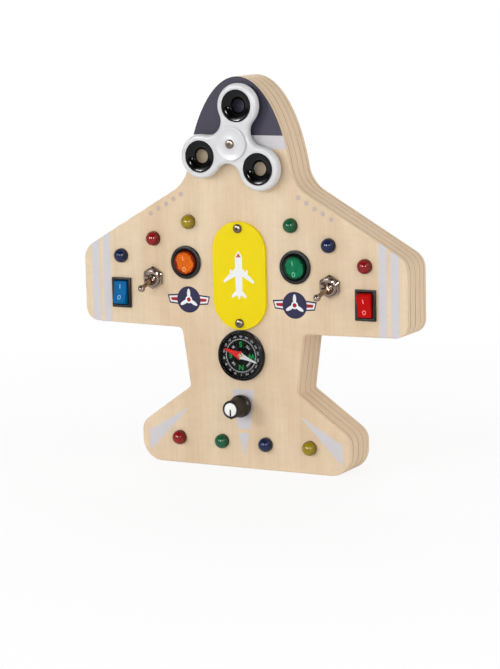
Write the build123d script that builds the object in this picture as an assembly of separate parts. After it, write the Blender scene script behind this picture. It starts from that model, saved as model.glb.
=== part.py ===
"""Plane-shaped wooden busy board with a spinner, switches, lamps, compass and dimmer knob.

Millimetres. +X is to the right as the front is seen, the front looks along -Y and +Z is up.
The origin is at the middle of the bottom edge, half way through the thickness.
"""

import os
from math import asin, copysign, cos, degrees, pi, radians, sin, tan

from build123d import *

# Board: layers of ply, a closed front and back around three rings
wing_span = 250.0
board_height = 270.0
front_thickness = 4.0
frame_thickness = {"frame_front": 8.0, "frame_middle": 7.5, "frame_rear": 6.5}
back_thickness = 4.0
wall = 9.0
edge_round = 1.0
joint_groove = 0.35

# Outline: an elliptical nose, swept wings and a tail, half of it at +X
nose_half_width = 42.6
nose_length = 96.4
shoulder_z = 208.0
wing_lead_z = 148.8
wing_sweep = 30.1
wing_trail_z = 97.4
wing_tip_lead_radius = 13.0
wing_tip_trail_radius = 10.0
root_half_width = 47.3
root_z = 96.2
root_radius = 4.0
waist_half_width = 41.6
waist_z = 54.9
waist_radius = 3.0
tail_half_span = 81.3
tail_lead_z = 26.9
tail_lead_radius = 11.0
tail_trail_radius = 15.0

# Fits and clearances
hole_gap = 0.1
moving_gap = 0.35
running_gap = 0.05
ball_gap = 0.1

# Back panel screws, countersunk, driven into the middle of the wall
back_screw_radius = 1.5
back_screw_head_radius = 3.0
back_screw_head_height = 1.8
back_screw_length = 20.0
back_screw_tip = 2.0
back_screw_slot_reach = 1.6
tip_screw_z = 124.0
trail_screw_x = 82.0
lead_screw_x = 74.0
tail_screw_z = 17.0

# Machine screws and nuts
screw_radius = 1.5
nut_flats = 5.5
nut_height = 2.4
cross_width = 0.9
cross_depth = 1.1

# Spinner
spinner_drop = 44.8
spinner_z = board_height - spinner_drop
spinner_turn = 9.8
spinner_arm = 26.0
lobe_radius = 15.0
saddle_distance = 14.0
spinner_thickness = 7.0
spinner_standoff = 2.5
spinner_edge_round = 2.4
ring_radius = 11.0
ring_mouth_radius = 9.9
ring_throat_radius = 4.75
ring_throat_length = 1.2
ring_lip = 0.4
ring_flare_bulge = (0.3, 0.55)
bearing_radius = 11.0
bearing_bore_radius = 4.0
bearing_width = 7.0
outer_race_wall = 2.1
inner_race_wall = 2.1
ball_pitch_radius = 7.5
ball_radius = 1.98
ball_count = 7
cage_wall = 1.1
cage_width = 4.8
cap_radius = 11.5
cap_thickness = 1.2
cap_lift = 0.4
rear_cap_radius = 9.0
cap_boss_radius = 5.9
cap_stub_length = 3.2
spinner_screw_head_radius = 3.1
spinner_screw_head_height = 1.5
spinner_screw_end = 2.6

# Badge plate
badge_width = 40.6
badge_length = 74.6
badge_z = 134.5
badge_thickness = 2.6
badge_screw_spacing = 65.2
badge_screw_head_radius = 3.15
badge_screw_head_height = 2.4
badge_screw_end = 1.0
badge_edge_round = 0.5

# Compass
compass_z = 79.3
compass_radius = 17.65
compass_height = 4.3
compass_bevel = 0.8
compass_spigot_radius = 16.4
compass_bowl_radius = 14.5
compass_bowl_depth = 2.5
dial_radius = 15.5
dial_top = 2.0
dial_thickness = 0.8
dial_hole_radius = 1.2
lens_radius = 16.4
lens_seat = 3.4
lens_crown = 0.7
needle_length = 25.4
needle_width = 6.4
needle_thickness = 0.3
needle_height = 2.5
needle_heading = 163.0
hub_radius = 1.9
hub_neck_radius = 1.2
hub_cap_height = 0.35
hub_drop = 0.2
pivot_radius = 0.7
pivot_base_radius = 1.8
pivot_base_height = 0.8

# Dimmer and its knob
knob_z = 44.5
knob_base_radius = 7.8
knob_barrel_radius = 6.5
knob_top_radius = 6.3
knob_low = 2.8
knob_skirt_top = 6.6
knob_barrel_low = 8.2
knob_top = 19.0
knob_recess_depth = 0.8
knob_recess_radius = 6.6
knob_cap_radius = 4.6
knob_cap_depth = 1.0
knob_cap_rise = 0.3
pointer_width = 1.3
pointer_depth = 0.3
dimmer_radius = 8.25
dimmer_depth = 8.5
dimmer_bush_radius = 3.5
dimmer_bush_rise = 3.0
dimmer_nut_flats = 10.0
dimmer_nut_height = 2.0
dimmer_washer_radius = 6.0
dimmer_washer_thickness = 0.5
dimmer_shaft_radius = 3.0
dimmer_shaft_top = 15.0
dimmer_shaft_depth = 8.0

# Toggle switches
toggle_z = 130.2
toggle_tilt = 18.0
toggle_pivot = 0.9
toggle_bush_radius = 5.95
toggle_bush_rise = 5.0
toggle_bush_bore = 4.5
toggle_plate_thickness = 1.0
toggle_case_width = 17.0
toggle_case_length = 28.0
toggle_case_depth = 10.0
toggle_case_wall = 1.8
toggle_nut_flats = 14.0
toggle_nut_height = 2.2
toggle_washer_radius = 6.9
toggle_washer_thickness = 0.8
toggle_ball_radius = 4.1
toggle_pin_radius = 0.75
toggle_pin_reach = 5.0
toggle_root_radius = 1.9
toggle_neck_radius = 1.5
toggle_knob_radius = 2.55
toggle_lever_length = 17.8
toggle_tail_length = 8.0
toggle_tail_radius = 1.5

# Rocker switches
round_rocker_x = 42.3
round_rocker_z = 142.0
round_bezel_radius = 11.5
round_cutout_radius = 10.1
rect_rocker_inset = 30.5
rect_rocker_x = wing_span / 2 - rect_rocker_inset
toggle_x = (round_rocker_x + rect_rocker_x) / 2
rect_rocker_z = 118.7
rect_bezel_width = 15.0
rect_bezel_length = 21.0
rect_bezel_corner = 0.8
rect_cutout_width = 13.2
rect_cutout_length = 19.2
bezel_height = 2.0
bezel_round = 0.6
rocker_case_depth = 12.0
rocker_well_depth = 9.0
rocker_radius = 8.2
rect_button_width = 9.5
rocker_pivot = 1.0
rocker_tilt = 12.5
rocker_valley = 3.9
rocker_slope = 7.0
rocker_skirt = 3.5
rocker_pin_radius = 0.8
rocker_pin_reach = 0.9
rocker_stub_width = 3.0
rocker_stub_depth = 7.2
clip_width = 5.0
clip_reach = 0.8
clip_length = 2.5

# Spade terminals and pins behind the switches
spade_width = 4.8
spade_thickness = 0.8
spade_length = 4.5
toggle_spade_length = 3.5
spade_spacing = 8.0
toggle_pin_spacing = 9.4
dimmer_pin_spacing = 5.0
dimmer_pin_length = 4.0

# Lamps: ten-millimetre domes pushed in from behind
lamp_radius = 5.0
lamp_rise = 1.4
lamp_flange_radius = 5.6
lamp_flange_thickness = 1.0
lead_radius = 0.3
lead_spacing = 2.54
lead_length = 6.0
lamp_inner = (39.4, 170.2)
lamp_middle = (67.7, 157.7)
lamp_outer_inset = 30.8
lamp_outer = (wing_span / 2 - lamp_outer_inset, 144.8)
lamp_tail_outer = (50.8, 18.2)
lamp_tail_inner = (17.0, 18.0)
lamp_colours = {
    lamp_inner: ("yellow", "green"),
    lamp_middle: ("red", "blue"),
    lamp_outer: ("blue", "red"),
    lamp_tail_outer: ("red", "yellow"),
    lamp_tail_inner: ("green", "blue"),
}

# Control board on posts behind the front panel
board_width = 56.0
board_length = 44.0
board_z = 134.0
board_thickness = 1.6
post_height = 3.0
post_radius = 2.6
post_pin_radius = 1.5
post_head_radius = 2.2
post_head_height = 1.2
post_inset = 3.4
header_width = 2.6
header_height = 2.5
header_inset = 0.7
chip_spot, chip_size, chip_height = (-7.0, 6.0), (7.6, 10.0), 1.8
capacitor_spot, capacitor_radius, capacitor_height = (9.0, 8.0), 3.0, 3.2
regulator_spot, regulator_size, regulator_height = (9.0, -4.0), (4.5, 3.2), 1.6
resistor_spot, resistor_size, resistor_height = (-12.0, -8.0), (1.6, 3.2), 0.6
resistor_count, resistor_pitch = 4, 5.0
board_corner = 2.0

# Battery box in the back
battery_z = 163.0
battery_box_wall = 1.5
battery_box_corner = 3.0
battery_box_depth = 15.7
battery_flange = 4.0
battery_flange_thickness = 1.5
lid_thickness = 2.0
lid_gap = 0.2
lid_lip_depth = 1.5
lid_lip_width = 8.0
lid_lip_thickness = 1.0
cell_radius = 5.2
cell_length = 43.6
cell_nub_radius = 1.9
cell_nub_length = 0.9
cell_pitch = 11.2
cell_count = 3
cell_side_gap = 1.1
contact_thickness = 0.5
spring_length = 2.6
spring_radius = 3.2
cell_stack = cell_length + cell_nub_length + 2 * contact_thickness + spring_length
lid_screw_bay = 13.4
battery_box_width = (cell_count - 1) * cell_pitch + 2 * (cell_radius + cell_side_gap + battery_box_wall)
battery_box_length = cell_stack + lid_screw_bay + 3 * battery_box_wall
lid_boss_radius = 3.5
lid_screw_radius = 1.2
lid_screw_head_radius = 2.3
lid_screw_head_height = 1.1
lid_screw_length = 8.0
lid_screw_inset = 7.0
lid_hole_depth = 9.0
lid_slot_width = 0.7
lid_slot_depth = 0.6
divider_drop = 1.0
contact_side = 9.0

# Wires
lamp_wire_radius = 1.5
switch_wire_radius = 0.8
lamp_wire_y = 9.3
switch_wire_y = 6.9
bend_share = 0.45
wire_bow = 1.6
dimmer_pin_x_share = 0.8
longest_straight_wire = 58.0
waist_wire_x = 24.0
waist_wire_z = 62.0
inner_lamp_pin = 14.2
middle_lamp_pin = 10.9
outer_lamp_pin = 3.2
tail_outer_pin_x = 16.5
tail_inner_pin_x = 11.0
round_rocker_pins = (7.0, 0.0)
toggle_pins = (-3.4, -6.2)
rect_rocker_pins = (-9.0, -12.0)
battery_wire_x = 8.0
battery_wire_y = 5.0
battery_wire_z = 120.5

body_thickness = front_thickness + sum(frame_thickness.values()) + back_thickness
front_y = -body_thickness / 2
back_y = body_thickness / 2
nodes = {}


def on_front(x, z):
    """A place on the front face: local x is +X, local y is +Z, local z is the height off the face."""
    return Location(Plane(origin=(x, front_y, z), x_dir=(1, 0, 0), z_dir=(0, -1, 0)))


def on_back(x, z):
    """A place on the back face: local x is -X, local y is +Z, local z is the height off the face."""
    return Location(Plane(origin=(x, back_y, z), x_dir=(-1, 0, 0), z_dir=(0, 1, 0)))


def layer(face, low, high):
    """The face, drawn in local x and y, made solid from one height to another."""
    return Pos(0, 0, low) * extrude(face, high - low)


def disc(radius, low, high):
    return layer(Circle(radius), low, high)


def turned(*points):
    """A closed profile of (radius, height) points turned about the local z axis."""
    return revolve(Plane.XZ * make_face(Polyline(*points, close=True)), Axis.Z)


def cross_rod(radius, length):
    """A rod along the local x axis, centred."""
    return Rot(0, 90, 0) * Cylinder(radius, length)


def mirrored_x(spots):
    """Each spot on the right, and its twin on the left."""
    return [(side * x, z) for x, z in spots for side in (1, -1)]


def cross_slot(width, depth, top, reach):
    """Two crossed slots of a Phillips head, cut down from its top."""
    bar = Box(2 * reach, width, 2 * depth) + Box(width, 2 * reach, 2 * depth)
    return Pos(0, 0, top) * bar


def pan_screw(head_radius, head_height, shaft_radius, seat, end):
    """A pan-head screw whose head sits at one height and whose shaft ends at another."""
    head = disc(head_radius, seat, seat + head_height)
    head = fillet(head.edges().group_by(Axis.Z)[-1], 0.6 * head_height)
    head -= cross_slot(cross_width, cross_depth, seat + head_height, 0.6 * head_radius)
    return head + disc(shaft_radius, end, seat)


def hex_nut(flats, bore_radius, low, high):
    hexagon = RegularPolygon(flats / 2, 6, major_radius=False, rotation=30)
    return layer(hexagon - Circle(bore_radius), low, high)


def guide_corners(inset):
    """Corners of the right half's straight edges from the wing's leading edge on, moved inwards."""
    lead = Vector(0, wing_lead_z + wing_span / 2 * tan(radians(wing_sweep)))
    corners = [lead] + [Vector(x, z) for x, z in (
        (wing_span / 2, wing_lead_z), (wing_span / 2, wing_trail_z), (root_half_width, root_z),
        (waist_half_width, waist_z), (tail_half_span, tail_lead_z), (tail_half_span, 0), (0, 0))]
    runs = [(end - start).normalized() for start, end in zip(corners, corners[1:])]
    inwards = [Vector(run.Y, -run.X) * inset for run in runs]
    moved = [corners[0] + Vector(0, inwards[0].length / -runs[0].X)]
    for before, after, shift, corner in zip(runs, runs[1:], inwards, corners[1:]):
        along = (1 - before.dot(after)) / cross_z(before, after) * inset
        moved.append(corner + shift + before * along)
    return moved + [Vector(0, inset)]


def cross_z(first, second):
    return first.X * second.Y - first.Y * second.X


def half_outline(inset):
    """The right half of the silhouette from the top of the nose to the middle of the bottom."""
    nose_z = board_height - nose_length
    half_width, length = nose_half_width - inset, nose_length - inset
    angle = asin((shoulder_z - nose_z) / nose_length)
    shoulder = Vector(half_width * cos(angle), nose_z + length * sin(angle))
    down = Vector(half_width * sin(angle), -length * cos(angle)).normalized()
    corners = guide_corners(inset)
    wing = (corners[1] - corners[0]).normalized()
    reach = -cross_z(shoulder - corners[0], wing) / cross_z(down, wing)
    wing_start = shoulder + down * reach + wing * reach
    nose = EllipticalCenterArc((0, nose_z), half_width, length, degrees(angle),
                               arc_size=90 - degrees(angle))
    throat = TangentArc(shoulder, wing_start, tangent=down)
    round_out = [max(radius - inset, edge_round) for radius in (
        wing_tip_lead_radius, wing_tip_trail_radius, tail_lead_radius, tail_trail_radius)]
    rest = FilletPolyline(wing_start, *corners[1:], radius=[
        *round_out[:2], root_radius + inset, waist_radius + inset, *round_out[2:]])
    return nose.edges() + throat.edges() + rest.edges()


def silhouette(inset=0.0):
    """The plane's outline as a face, moved inwards by an inset."""
    half = half_outline(inset)
    return make_face(half + [mirror(edge, Plane.YZ) for edge in half])


def screw_spots():
    """Where the back panel's screws go, in the middle of the wall."""
    inset = wall / 2
    lead_z = guide_corners(inset)[0].Y - lead_screw_x * tan(radians(wing_sweep))
    return [(0, board_height - inset), (0, inset)] + mirrored_x([
        (wing_span / 2 - inset, tip_screw_z),
        (trail_screw_x, wing_trail_z + inset),
        (lead_screw_x, lead_z),
        (tail_half_span - inset, tail_screw_z),
    ])


def badge_screw_spots():
    return [(0, badge_z + side * badge_screw_spacing / 2) for side in (1, -1)]


def post_spots():
    x = board_width / 2 - post_inset
    reach = board_length / 2 - post_inset
    return mirrored_x([(x, board_z + reach), (x, board_z - reach)])


def all_lamps():
    """Every lamp's place and colour, left then right."""
    return [
        ((side * x, z), colours[0 if side < 0 else 1])
        for (x, z), colours in lamp_colours.items() for side in (-1, 1)
    ]


def build_board():
    outline = silhouette()
    cavity = silhouette(wall)
    place = on_front(0, 0)
    front = layer(outline, -front_thickness, 0)
    front = fillet(front.faces().sort_by(Axis.Z)[-1].edges(), edge_round)
    front = chamfer(front.faces().sort_by(Axis.Z)[0].edges(), joint_groove)
    cuts = [Pos(x, z) * disc(lamp_radius + hole_gap, -front_thickness, 0) for (x, z), _ in all_lamps()]
    cuts += [Pos(x, z) * disc(screw_radius, -front_thickness, 0)
             for x, z in badge_screw_spots() + [(0, spinner_z)]]
    cuts.append(Pos(0, compass_z) * disc(compass_spigot_radius + hole_gap, -front_thickness, 0))
    cuts.append(Pos(0, knob_z) * disc(dimmer_bush_radius + hole_gap, -front_thickness, 0))
    for side in (1, -1):
        cuts.append(Pos(side * toggle_x, toggle_z)
                    * disc(toggle_bush_radius + hole_gap, -front_thickness, 0))
        cuts.append(Pos(side * round_rocker_x, round_rocker_z)
                    * disc(round_cutout_radius, -front_thickness, 0))
        cuts.append(Pos(side * rect_rocker_x, rect_rocker_z)
                    * layer(Rectangle(rect_cutout_width, rect_cutout_length), -front_thickness, 0))
    nodes["front_panel"] = place * (front - cuts)

    top = -front_thickness
    for name, thickness in frame_thickness.items():
        solid = layer(outline, top - thickness, top)
        faces = solid.faces().sort_by(Axis.Z)
        solid = chamfer(faces[0].edges() + faces[-1].edges(), joint_groove)
        bores = [Pos(x, z) * disc(back_screw_radius, top - thickness, top) for x, z in screw_spots()]
        nodes[name] = place * (solid - layer(cavity, top - thickness, top) - bores)
        top -= thickness

    back = layer(outline, top - back_thickness, top)
    back = fillet(back.faces().sort_by(Axis.Z)[0].edges(), edge_round)
    back = chamfer(back.faces().sort_by(Axis.Z)[-1].edges(), joint_groove)
    sunk = [Pos(x, z) * back_screw_shape(top - back_thickness) for x, z in screw_spots()]
    opening = Pos(0, battery_z) * RectangleRounded(
        battery_box_width + 2 * lid_gap, battery_box_length + 2 * lid_gap, battery_box_corner)
    back -= layer(opening, top - back_thickness, top)
    nodes["back_panel"] = place * (back - sunk)
    slot = cross_slot(cross_width, cross_depth, top - back_thickness, back_screw_slot_reach)
    nodes["back_screws"] = [
        place * Pos(x, z) * (back_screw_shape(top - back_thickness) - slot) for x, z in screw_spots()]


def back_screw_shape(seat):
    """A countersunk screw that enters upwards from the back face at the given height."""
    return turned(
        (0, seat), (back_screw_head_radius, seat),
        (back_screw_radius, seat + back_screw_head_height),
        (back_screw_radius, seat + back_screw_length - back_screw_tip), (0, seat + back_screw_length))


def spinner_face():
    """Three round lobes joined by round saddles that run smoothly into them."""
    saddle_radius = (
        spinner_arm**2 + saddle_distance**2 - spinner_arm * saddle_distance - lobe_radius**2
    ) / (2 * lobe_radius - 2 * saddle_distance + spinner_arm)
    saddle_arm = saddle_distance + saddle_radius
    star, lobes, saddles = [], [], []
    for turn in range(3):
        lobe_angle = radians(90 - spinner_turn + 120 * turn)
        saddle_angle = lobe_angle + pi / 3
        lobe = Vector(spinner_arm * cos(lobe_angle), spinner_arm * sin(lobe_angle))
        saddle = Vector(saddle_arm * cos(saddle_angle), saddle_arm * sin(saddle_angle))
        star += [lobe, saddle]
        lobes.append(Pos(lobe.X, lobe.Y) * Circle(lobe_radius))
        saddles.append(Pos(saddle.X, saddle.Y) * Circle(saddle_radius))
    face = make_face(Polyline(*star, close=True)) - saddles + lobes
    return face, star[0::2]


def build_spinner():
    place = on_front(0, spinner_z)
    low, high = spinner_standoff, spinner_standoff + spinner_thickness
    middle = (low + high) / 2
    face, lobe_centres = spinner_face()
    body = layer(face, low, high)
    rims = body.faces().sort_by(Axis.Z)
    body = fillet(rims[0].edges() + rims[-1].edges(), spinner_edge_round)
    body -= disc(bearing_radius, low, high)
    body -= [Pos(spot.X, spot.Y) * disc(ring_radius, low, high) for spot in lobe_centres]
    nodes["spinner_body"] = place * body

    half = spinner_thickness / 2 + ring_lip
    throat = ring_throat_length / 2
    funnel = Polyline((ring_throat_radius, -throat), (ring_throat_radius, throat)).edges()
    for side in (1, -1):
        flare = Vector(ring_mouth_radius, side * half), Vector(ring_throat_radius, side * throat)
        bulge = Vector(ring_throat_radius + ring_flare_bulge[0] * (ring_mouth_radius - ring_throat_radius),
                       side * (throat + ring_flare_bulge[1] * (half - throat)))
        funnel += ThreePointArc(flare[1], bulge, flare[0]).edges()
    funnel += Polyline((ring_mouth_radius, half), (ring_radius, half), (ring_radius, -half),
                       (ring_mouth_radius, -half)).edges()
    ring = Pos(0, 0, middle) * revolve(Plane.XZ * make_face(funnel), Axis.Z)
    nodes["spinner_rings"] = [place * Pos(spot.X, spot.Y) * ring for spot in lobe_centres]

    edge = bearing_width / 2
    groove = Pos(0, 0, middle) * Torus(ball_pitch_radius, ball_radius + ball_gap)
    outer = disc(bearing_radius, middle - edge, middle + edge)
    outer -= disc(bearing_radius - outer_race_wall, middle - edge, middle + edge)
    inner = disc(bearing_bore_radius + inner_race_wall, middle - edge, middle + edge)
    inner -= disc(bearing_bore_radius, middle - edge, middle + edge)
    nodes["spinner_outer_race"] = place * (outer - groove)
    nodes["spinner_inner_race"] = place * (inner - groove)

    pitch = PolarLocations(ball_pitch_radius, ball_count)
    nodes["spinner_balls"] = [place * Pos(0, 0, middle) * spot * Sphere(ball_radius) for spot in pitch]
    cage = disc(ball_pitch_radius + cage_wall / 2, middle - cage_width / 2, middle + cage_width / 2)
    cage -= disc(ball_pitch_radius - cage_wall / 2, middle - cage_width / 2, middle + cage_width / 2)
    pocket = cross_rod(ball_radius + ball_gap, 3 * cage_wall)
    cage -= [Pos(0, 0, middle) * spot * pocket for spot in pitch]
    nodes["spinner_cage"] = place * cage

    stub = bearing_bore_radius - running_gap
    bore = screw_radius + hole_gap
    top = high + cap_lift + cap_thickness
    cap = disc(cap_radius, high + cap_lift, top)
    cap = fillet(cap.edges().group_by(Axis.Z)[-1], cap_thickness / 2)
    cap += disc(cap_boss_radius, high, high + cap_lift) + disc(stub, high - cap_stub_length, high)
    nodes["spinner_cap"] = place * (cap - disc(bore, high - cap_stub_length, top))
    rear = disc(rear_cap_radius, 0, low - cap_lift) + disc(cap_boss_radius, low - cap_lift, low)
    rear += disc(stub, low, low + cap_stub_length)
    nodes["spinner_rear_cap"] = place * (rear - disc(bore, 0, low + cap_stub_length))
    nut_low = -front_thickness - nut_height
    nodes["spinner_screw"] = place * pan_screw(
        spinner_screw_head_radius, spinner_screw_head_height, screw_radius, top,
        nut_low - spinner_screw_end)
    nodes["spinner_nut"] = place * hex_nut(nut_flats, screw_radius, nut_low, -front_thickness)


def build_badge():
    plate = layer(Rot(0, 0, 90) * SlotOverall(badge_length, badge_width), 0, badge_thickness)
    plate = fillet(plate.faces().sort_by(Axis.Z)[-1].edges(), badge_edge_round)
    spots = badge_screw_spots()
    plate -= [Pos(0, z - badge_z) * disc(screw_radius, 0, badge_thickness) for _, z in spots]
    nodes["badge_plate"] = on_front(0, badge_z) * plate
    nut_low = -front_thickness - nut_height
    screw = pan_screw(badge_screw_head_radius, badge_screw_head_height, screw_radius,
                      badge_thickness, nut_low - badge_screw_end)
    nut = hex_nut(nut_flats, screw_radius, nut_low, -front_thickness)
    nodes["badge_screws"] = [on_front(x, z) * screw for x, z in spots]
    nodes["badge_nuts"] = [on_front(x, z) * nut for x, z in spots]


def build_compass():
    place = on_front(0, compass_z)
    dial_low = dial_top - dial_thickness
    case = turned(
        (0, -front_thickness), (compass_spigot_radius, -front_thickness),
        (compass_spigot_radius, 0), (compass_radius, 0),
        (compass_radius, compass_height - compass_bevel),
        (compass_radius - compass_bevel, compass_height),
        (lens_radius, compass_height), (lens_radius, lens_seat), (dial_radius, lens_seat),
        (dial_radius, dial_low), (compass_bowl_radius, dial_low),
        (compass_bowl_radius, -compass_bowl_depth), (0, -compass_bowl_depth))
    nodes["compass_case"] = place * case
    nodes["compass_dial"] = place * (
        disc(dial_radius, dial_low, dial_top) - disc(dial_hole_radius, dial_low, dial_top))
    crown_radius = (lens_radius**2 + lens_crown**2) / (2 * lens_crown)
    dome = Pos(0, 0, compass_height + lens_crown - crown_radius) * Sphere(crown_radius)
    nodes["compass_lens"] = place * (disc(lens_radius, lens_seat, compass_height + lens_crown) & dome)

    half, side = needle_length / 2, needle_width / 2
    rhombus = make_face(Polyline((half, 0), (0, side), (-half, 0), (0, -side), close=True))
    needle_top = needle_height + needle_thickness
    needle = layer(rhombus - Circle(hub_neck_radius), needle_height, needle_top)
    nodes["compass_needle"] = place * Rot(0, 0, needle_heading) * needle
    low = needle_height - hub_drop
    bore = pivot_radius + hole_gap
    tip = needle_top + hub_cap_height / 2
    nodes["compass_hub"] = place * turned(
        (bore, low), (hub_neck_radius, low), (hub_neck_radius, needle_top), (hub_radius, needle_top),
        (hub_radius, needle_top + hub_cap_height), (0, needle_top + hub_cap_height),
        (0, tip), (bore, needle_height))
    pivot_base_top = pivot_base_height - compass_bowl_depth
    nodes["compass_pivot"] = place * turned(
        (0, -compass_bowl_depth), (pivot_base_radius, -compass_bowl_depth),
        (pivot_base_radius, pivot_base_top), (pivot_radius, pivot_base_top),
        (pivot_radius, low), (0, tip - running_gap))


def build_dimmer():
    place = on_front(0, knob_z)
    case = disc(dimmer_radius, -front_thickness - dimmer_depth, -front_thickness)
    case += disc(dimmer_bush_radius, -front_thickness, dimmer_bush_rise)
    case -= disc(dimmer_shaft_radius + running_gap, -dimmer_shaft_depth - moving_gap, dimmer_bush_rise)
    nodes["dimmer_case"] = place * case
    washer_top = dimmer_washer_thickness
    nodes["dimmer_washer"] = place * (
        disc(dimmer_washer_radius, 0, washer_top) - disc(dimmer_bush_radius, 0, washer_top))
    nodes["dimmer_nut"] = place * hex_nut(
        dimmer_nut_flats, dimmer_bush_radius, washer_top, washer_top + dimmer_nut_height)
    nodes["knob_shaft"] = place * disc(dimmer_shaft_radius, -dimmer_shaft_depth, dimmer_shaft_top)

    knob = turned(
        (0, knob_low), (knob_base_radius, knob_low), (knob_base_radius, knob_skirt_top),
        (knob_barrel_radius, knob_barrel_low), (knob_top_radius, knob_top), (0, knob_top))
    knob -= disc(knob_recess_radius, knob_low, knob_low + knob_recess_depth)
    knob -= disc(dimmer_shaft_radius, knob_low, dimmer_shaft_top)
    seat = knob_top - knob_cap_depth
    knob -= disc(knob_cap_radius, seat, knob_top)
    nodes["knob_body"] = place * knob
    cap_top = knob_top + knob_cap_rise
    cap = disc(knob_cap_radius, seat, cap_top)
    pointer = Pos(0, -knob_cap_radius / 2, cap_top) * Box(pointer_width, knob_cap_radius, 2 * pointer_depth)
    nodes["knob_cap"] = place * (cap - pointer)


def toggle_bush():
    """The threaded bush with its mounting plate, bored for the lever and its cross pin."""
    low = -front_thickness - toggle_plate_thickness
    plate = layer(Rectangle(toggle_case_width, toggle_case_length), low, -front_thickness)
    bush = plate + disc(toggle_bush_radius, -front_thickness, toggle_bush_rise)
    bush -= disc(toggle_bush_bore, low, toggle_bush_rise)
    hole = cross_rod(toggle_pin_radius + running_gap, 2 * (toggle_pin_reach + running_gap))
    return bush - Pos(0, 0, toggle_pivot) * hole


def toggle_case():
    """The case behind the mounting plate, hollow where the lever's tail swings."""
    top = -front_thickness - toggle_plate_thickness
    case = layer(Rectangle(toggle_case_width, toggle_case_length), top - toggle_case_depth, top)
    inside = Rectangle(toggle_case_width - 2 * toggle_case_wall, toggle_case_length - 2 * toggle_case_wall)
    return case - layer(inside, top - toggle_case_depth + toggle_case_wall, top)


def toggle_lever():
    """The lever about its pivot at the local origin: ball, pin, tail, tapered stem and ball tip."""
    stem_length = toggle_lever_length
    stem = Pos(0, 0, stem_length / 2) * Cone(toggle_root_radius, toggle_neck_radius, stem_length)
    lever = stem + Pos(0, 0, stem_length) * Sphere(toggle_knob_radius)
    lever += Sphere(toggle_ball_radius) + cross_rod(toggle_pin_radius, 2 * toggle_pin_reach)
    return lever + disc(toggle_tail_radius, -toggle_tail_length, 0)


def build_toggles():
    spots = {"left": on_front(-toggle_x, toggle_z), "right": on_front(toggle_x, toggle_z)}
    tilted = Pos(0, 0, toggle_pivot) * Rot(toggle_tilt, 0, 0) * toggle_lever()
    for side, place in spots.items():
        nodes[f"toggle_{side}_lever"] = place * tilted
    washer = disc(toggle_washer_radius, 0, toggle_washer_thickness)
    washer -= disc(toggle_bush_radius, 0, toggle_washer_thickness)
    nut = hex_nut(toggle_nut_flats, toggle_bush_radius, toggle_washer_thickness,
                  toggle_washer_thickness + toggle_nut_height)
    shapes = {"toggle_bushes": toggle_bush(), "toggle_cases": toggle_case(),
              "toggle_washers": washer, "toggle_nuts": nut}
    for name, shape in shapes.items():
        nodes[name] = [place * shape for place in spots.values()]


def rocker_case(is_round):
    """The snap-in case: bezel, barrel through the panel, well for the button and its pin bores."""
    if is_round:
        bezel, barrel = Circle(round_bezel_radius), Circle(round_cutout_radius - hole_gap)
        window, barrel_half = Circle(rocker_radius + moving_gap), round_cutout_radius - hole_gap
        pin_start = rocker_radius
    else:
        bezel = RectangleRounded(rect_bezel_width, rect_bezel_length, rect_bezel_corner)
        barrel = Rectangle(rect_cutout_width - 2 * hole_gap, rect_cutout_length - 2 * hole_gap)
        window = Rectangle(rect_button_width + 2 * moving_gap, 2 * (rocker_radius + moving_gap))
        barrel_half = rect_cutout_length / 2 - hole_gap
        pin_start = rect_button_width / 2
    rim = layer(bezel, 0, bezel_height)
    rim = fillet(rim.edges().group_by(Axis.Z)[-1], bezel_round)
    case = rim + layer(barrel, -rocker_case_depth, 0)
    clip = Box(clip_width, 2 * (barrel_half + clip_reach), clip_length)
    case += Pos(0, 0, -front_thickness - clip_length / 2) * clip
    case -= layer(window, -rocker_well_depth, bezel_height)
    bore = cross_rod(rocker_pin_radius + running_gap, 2 * (pin_start + moving_gap + rocker_pin_reach))
    return case - Pos(0, 0, rocker_pivot) * bore


def rocker_button(is_round):
    """The button about its pivot at the local origin, with two faces that meet in a shallow valley."""
    valley = rocker_valley - rocker_pivot
    reach = rocker_radius + hole_gap
    rise = reach * tan(radians(rocker_slope))
    profile = make_face(Polyline(
        (0, valley), (reach, valley + rise), (reach, -rocker_skirt), (-reach, -rocker_skirt),
        (-reach, valley + rise), close=True))
    wedge = extrude(Plane.YZ * profile, reach, both=True)
    if is_round:
        blank, pin_start = Sphere(rocker_radius), rocker_radius
    else:
        blank, pin_start = cross_rod(rocker_radius, rect_button_width), rect_button_width / 2
    button = blank & wedge
    button += cross_rod(rocker_pin_radius, 2 * (pin_start + rocker_pin_reach))
    stub = layer(Rectangle(rocker_stub_width, rocker_stub_width), -rocker_stub_depth, -rocker_skirt)
    return button + stub


def rockers():
    """Name, place, whether it is round, and which way it is tilted: +1 has its upper end out."""
    return [
        ("orange", (-round_rocker_x, round_rocker_z), True, 1),
        ("green", (round_rocker_x, round_rocker_z), True, 1),
        ("blue", (-rect_rocker_x, rect_rocker_z), False, -1),
        ("red", (rect_rocker_x, rect_rocker_z), False, 1),
    ]


def build_rockers():
    for name, (x, z), is_round, lean in rockers():
        place = on_front(x, z)
        nodes[f"{name}_rocker_case"] = place * rocker_case(is_round)
        turn = Pos(0, 0, rocker_pivot) * Rot(lean * rocker_tilt, 0, 0)
        nodes[f"{name}_rocker_button"] = place * turn * rocker_button(is_round)


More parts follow.
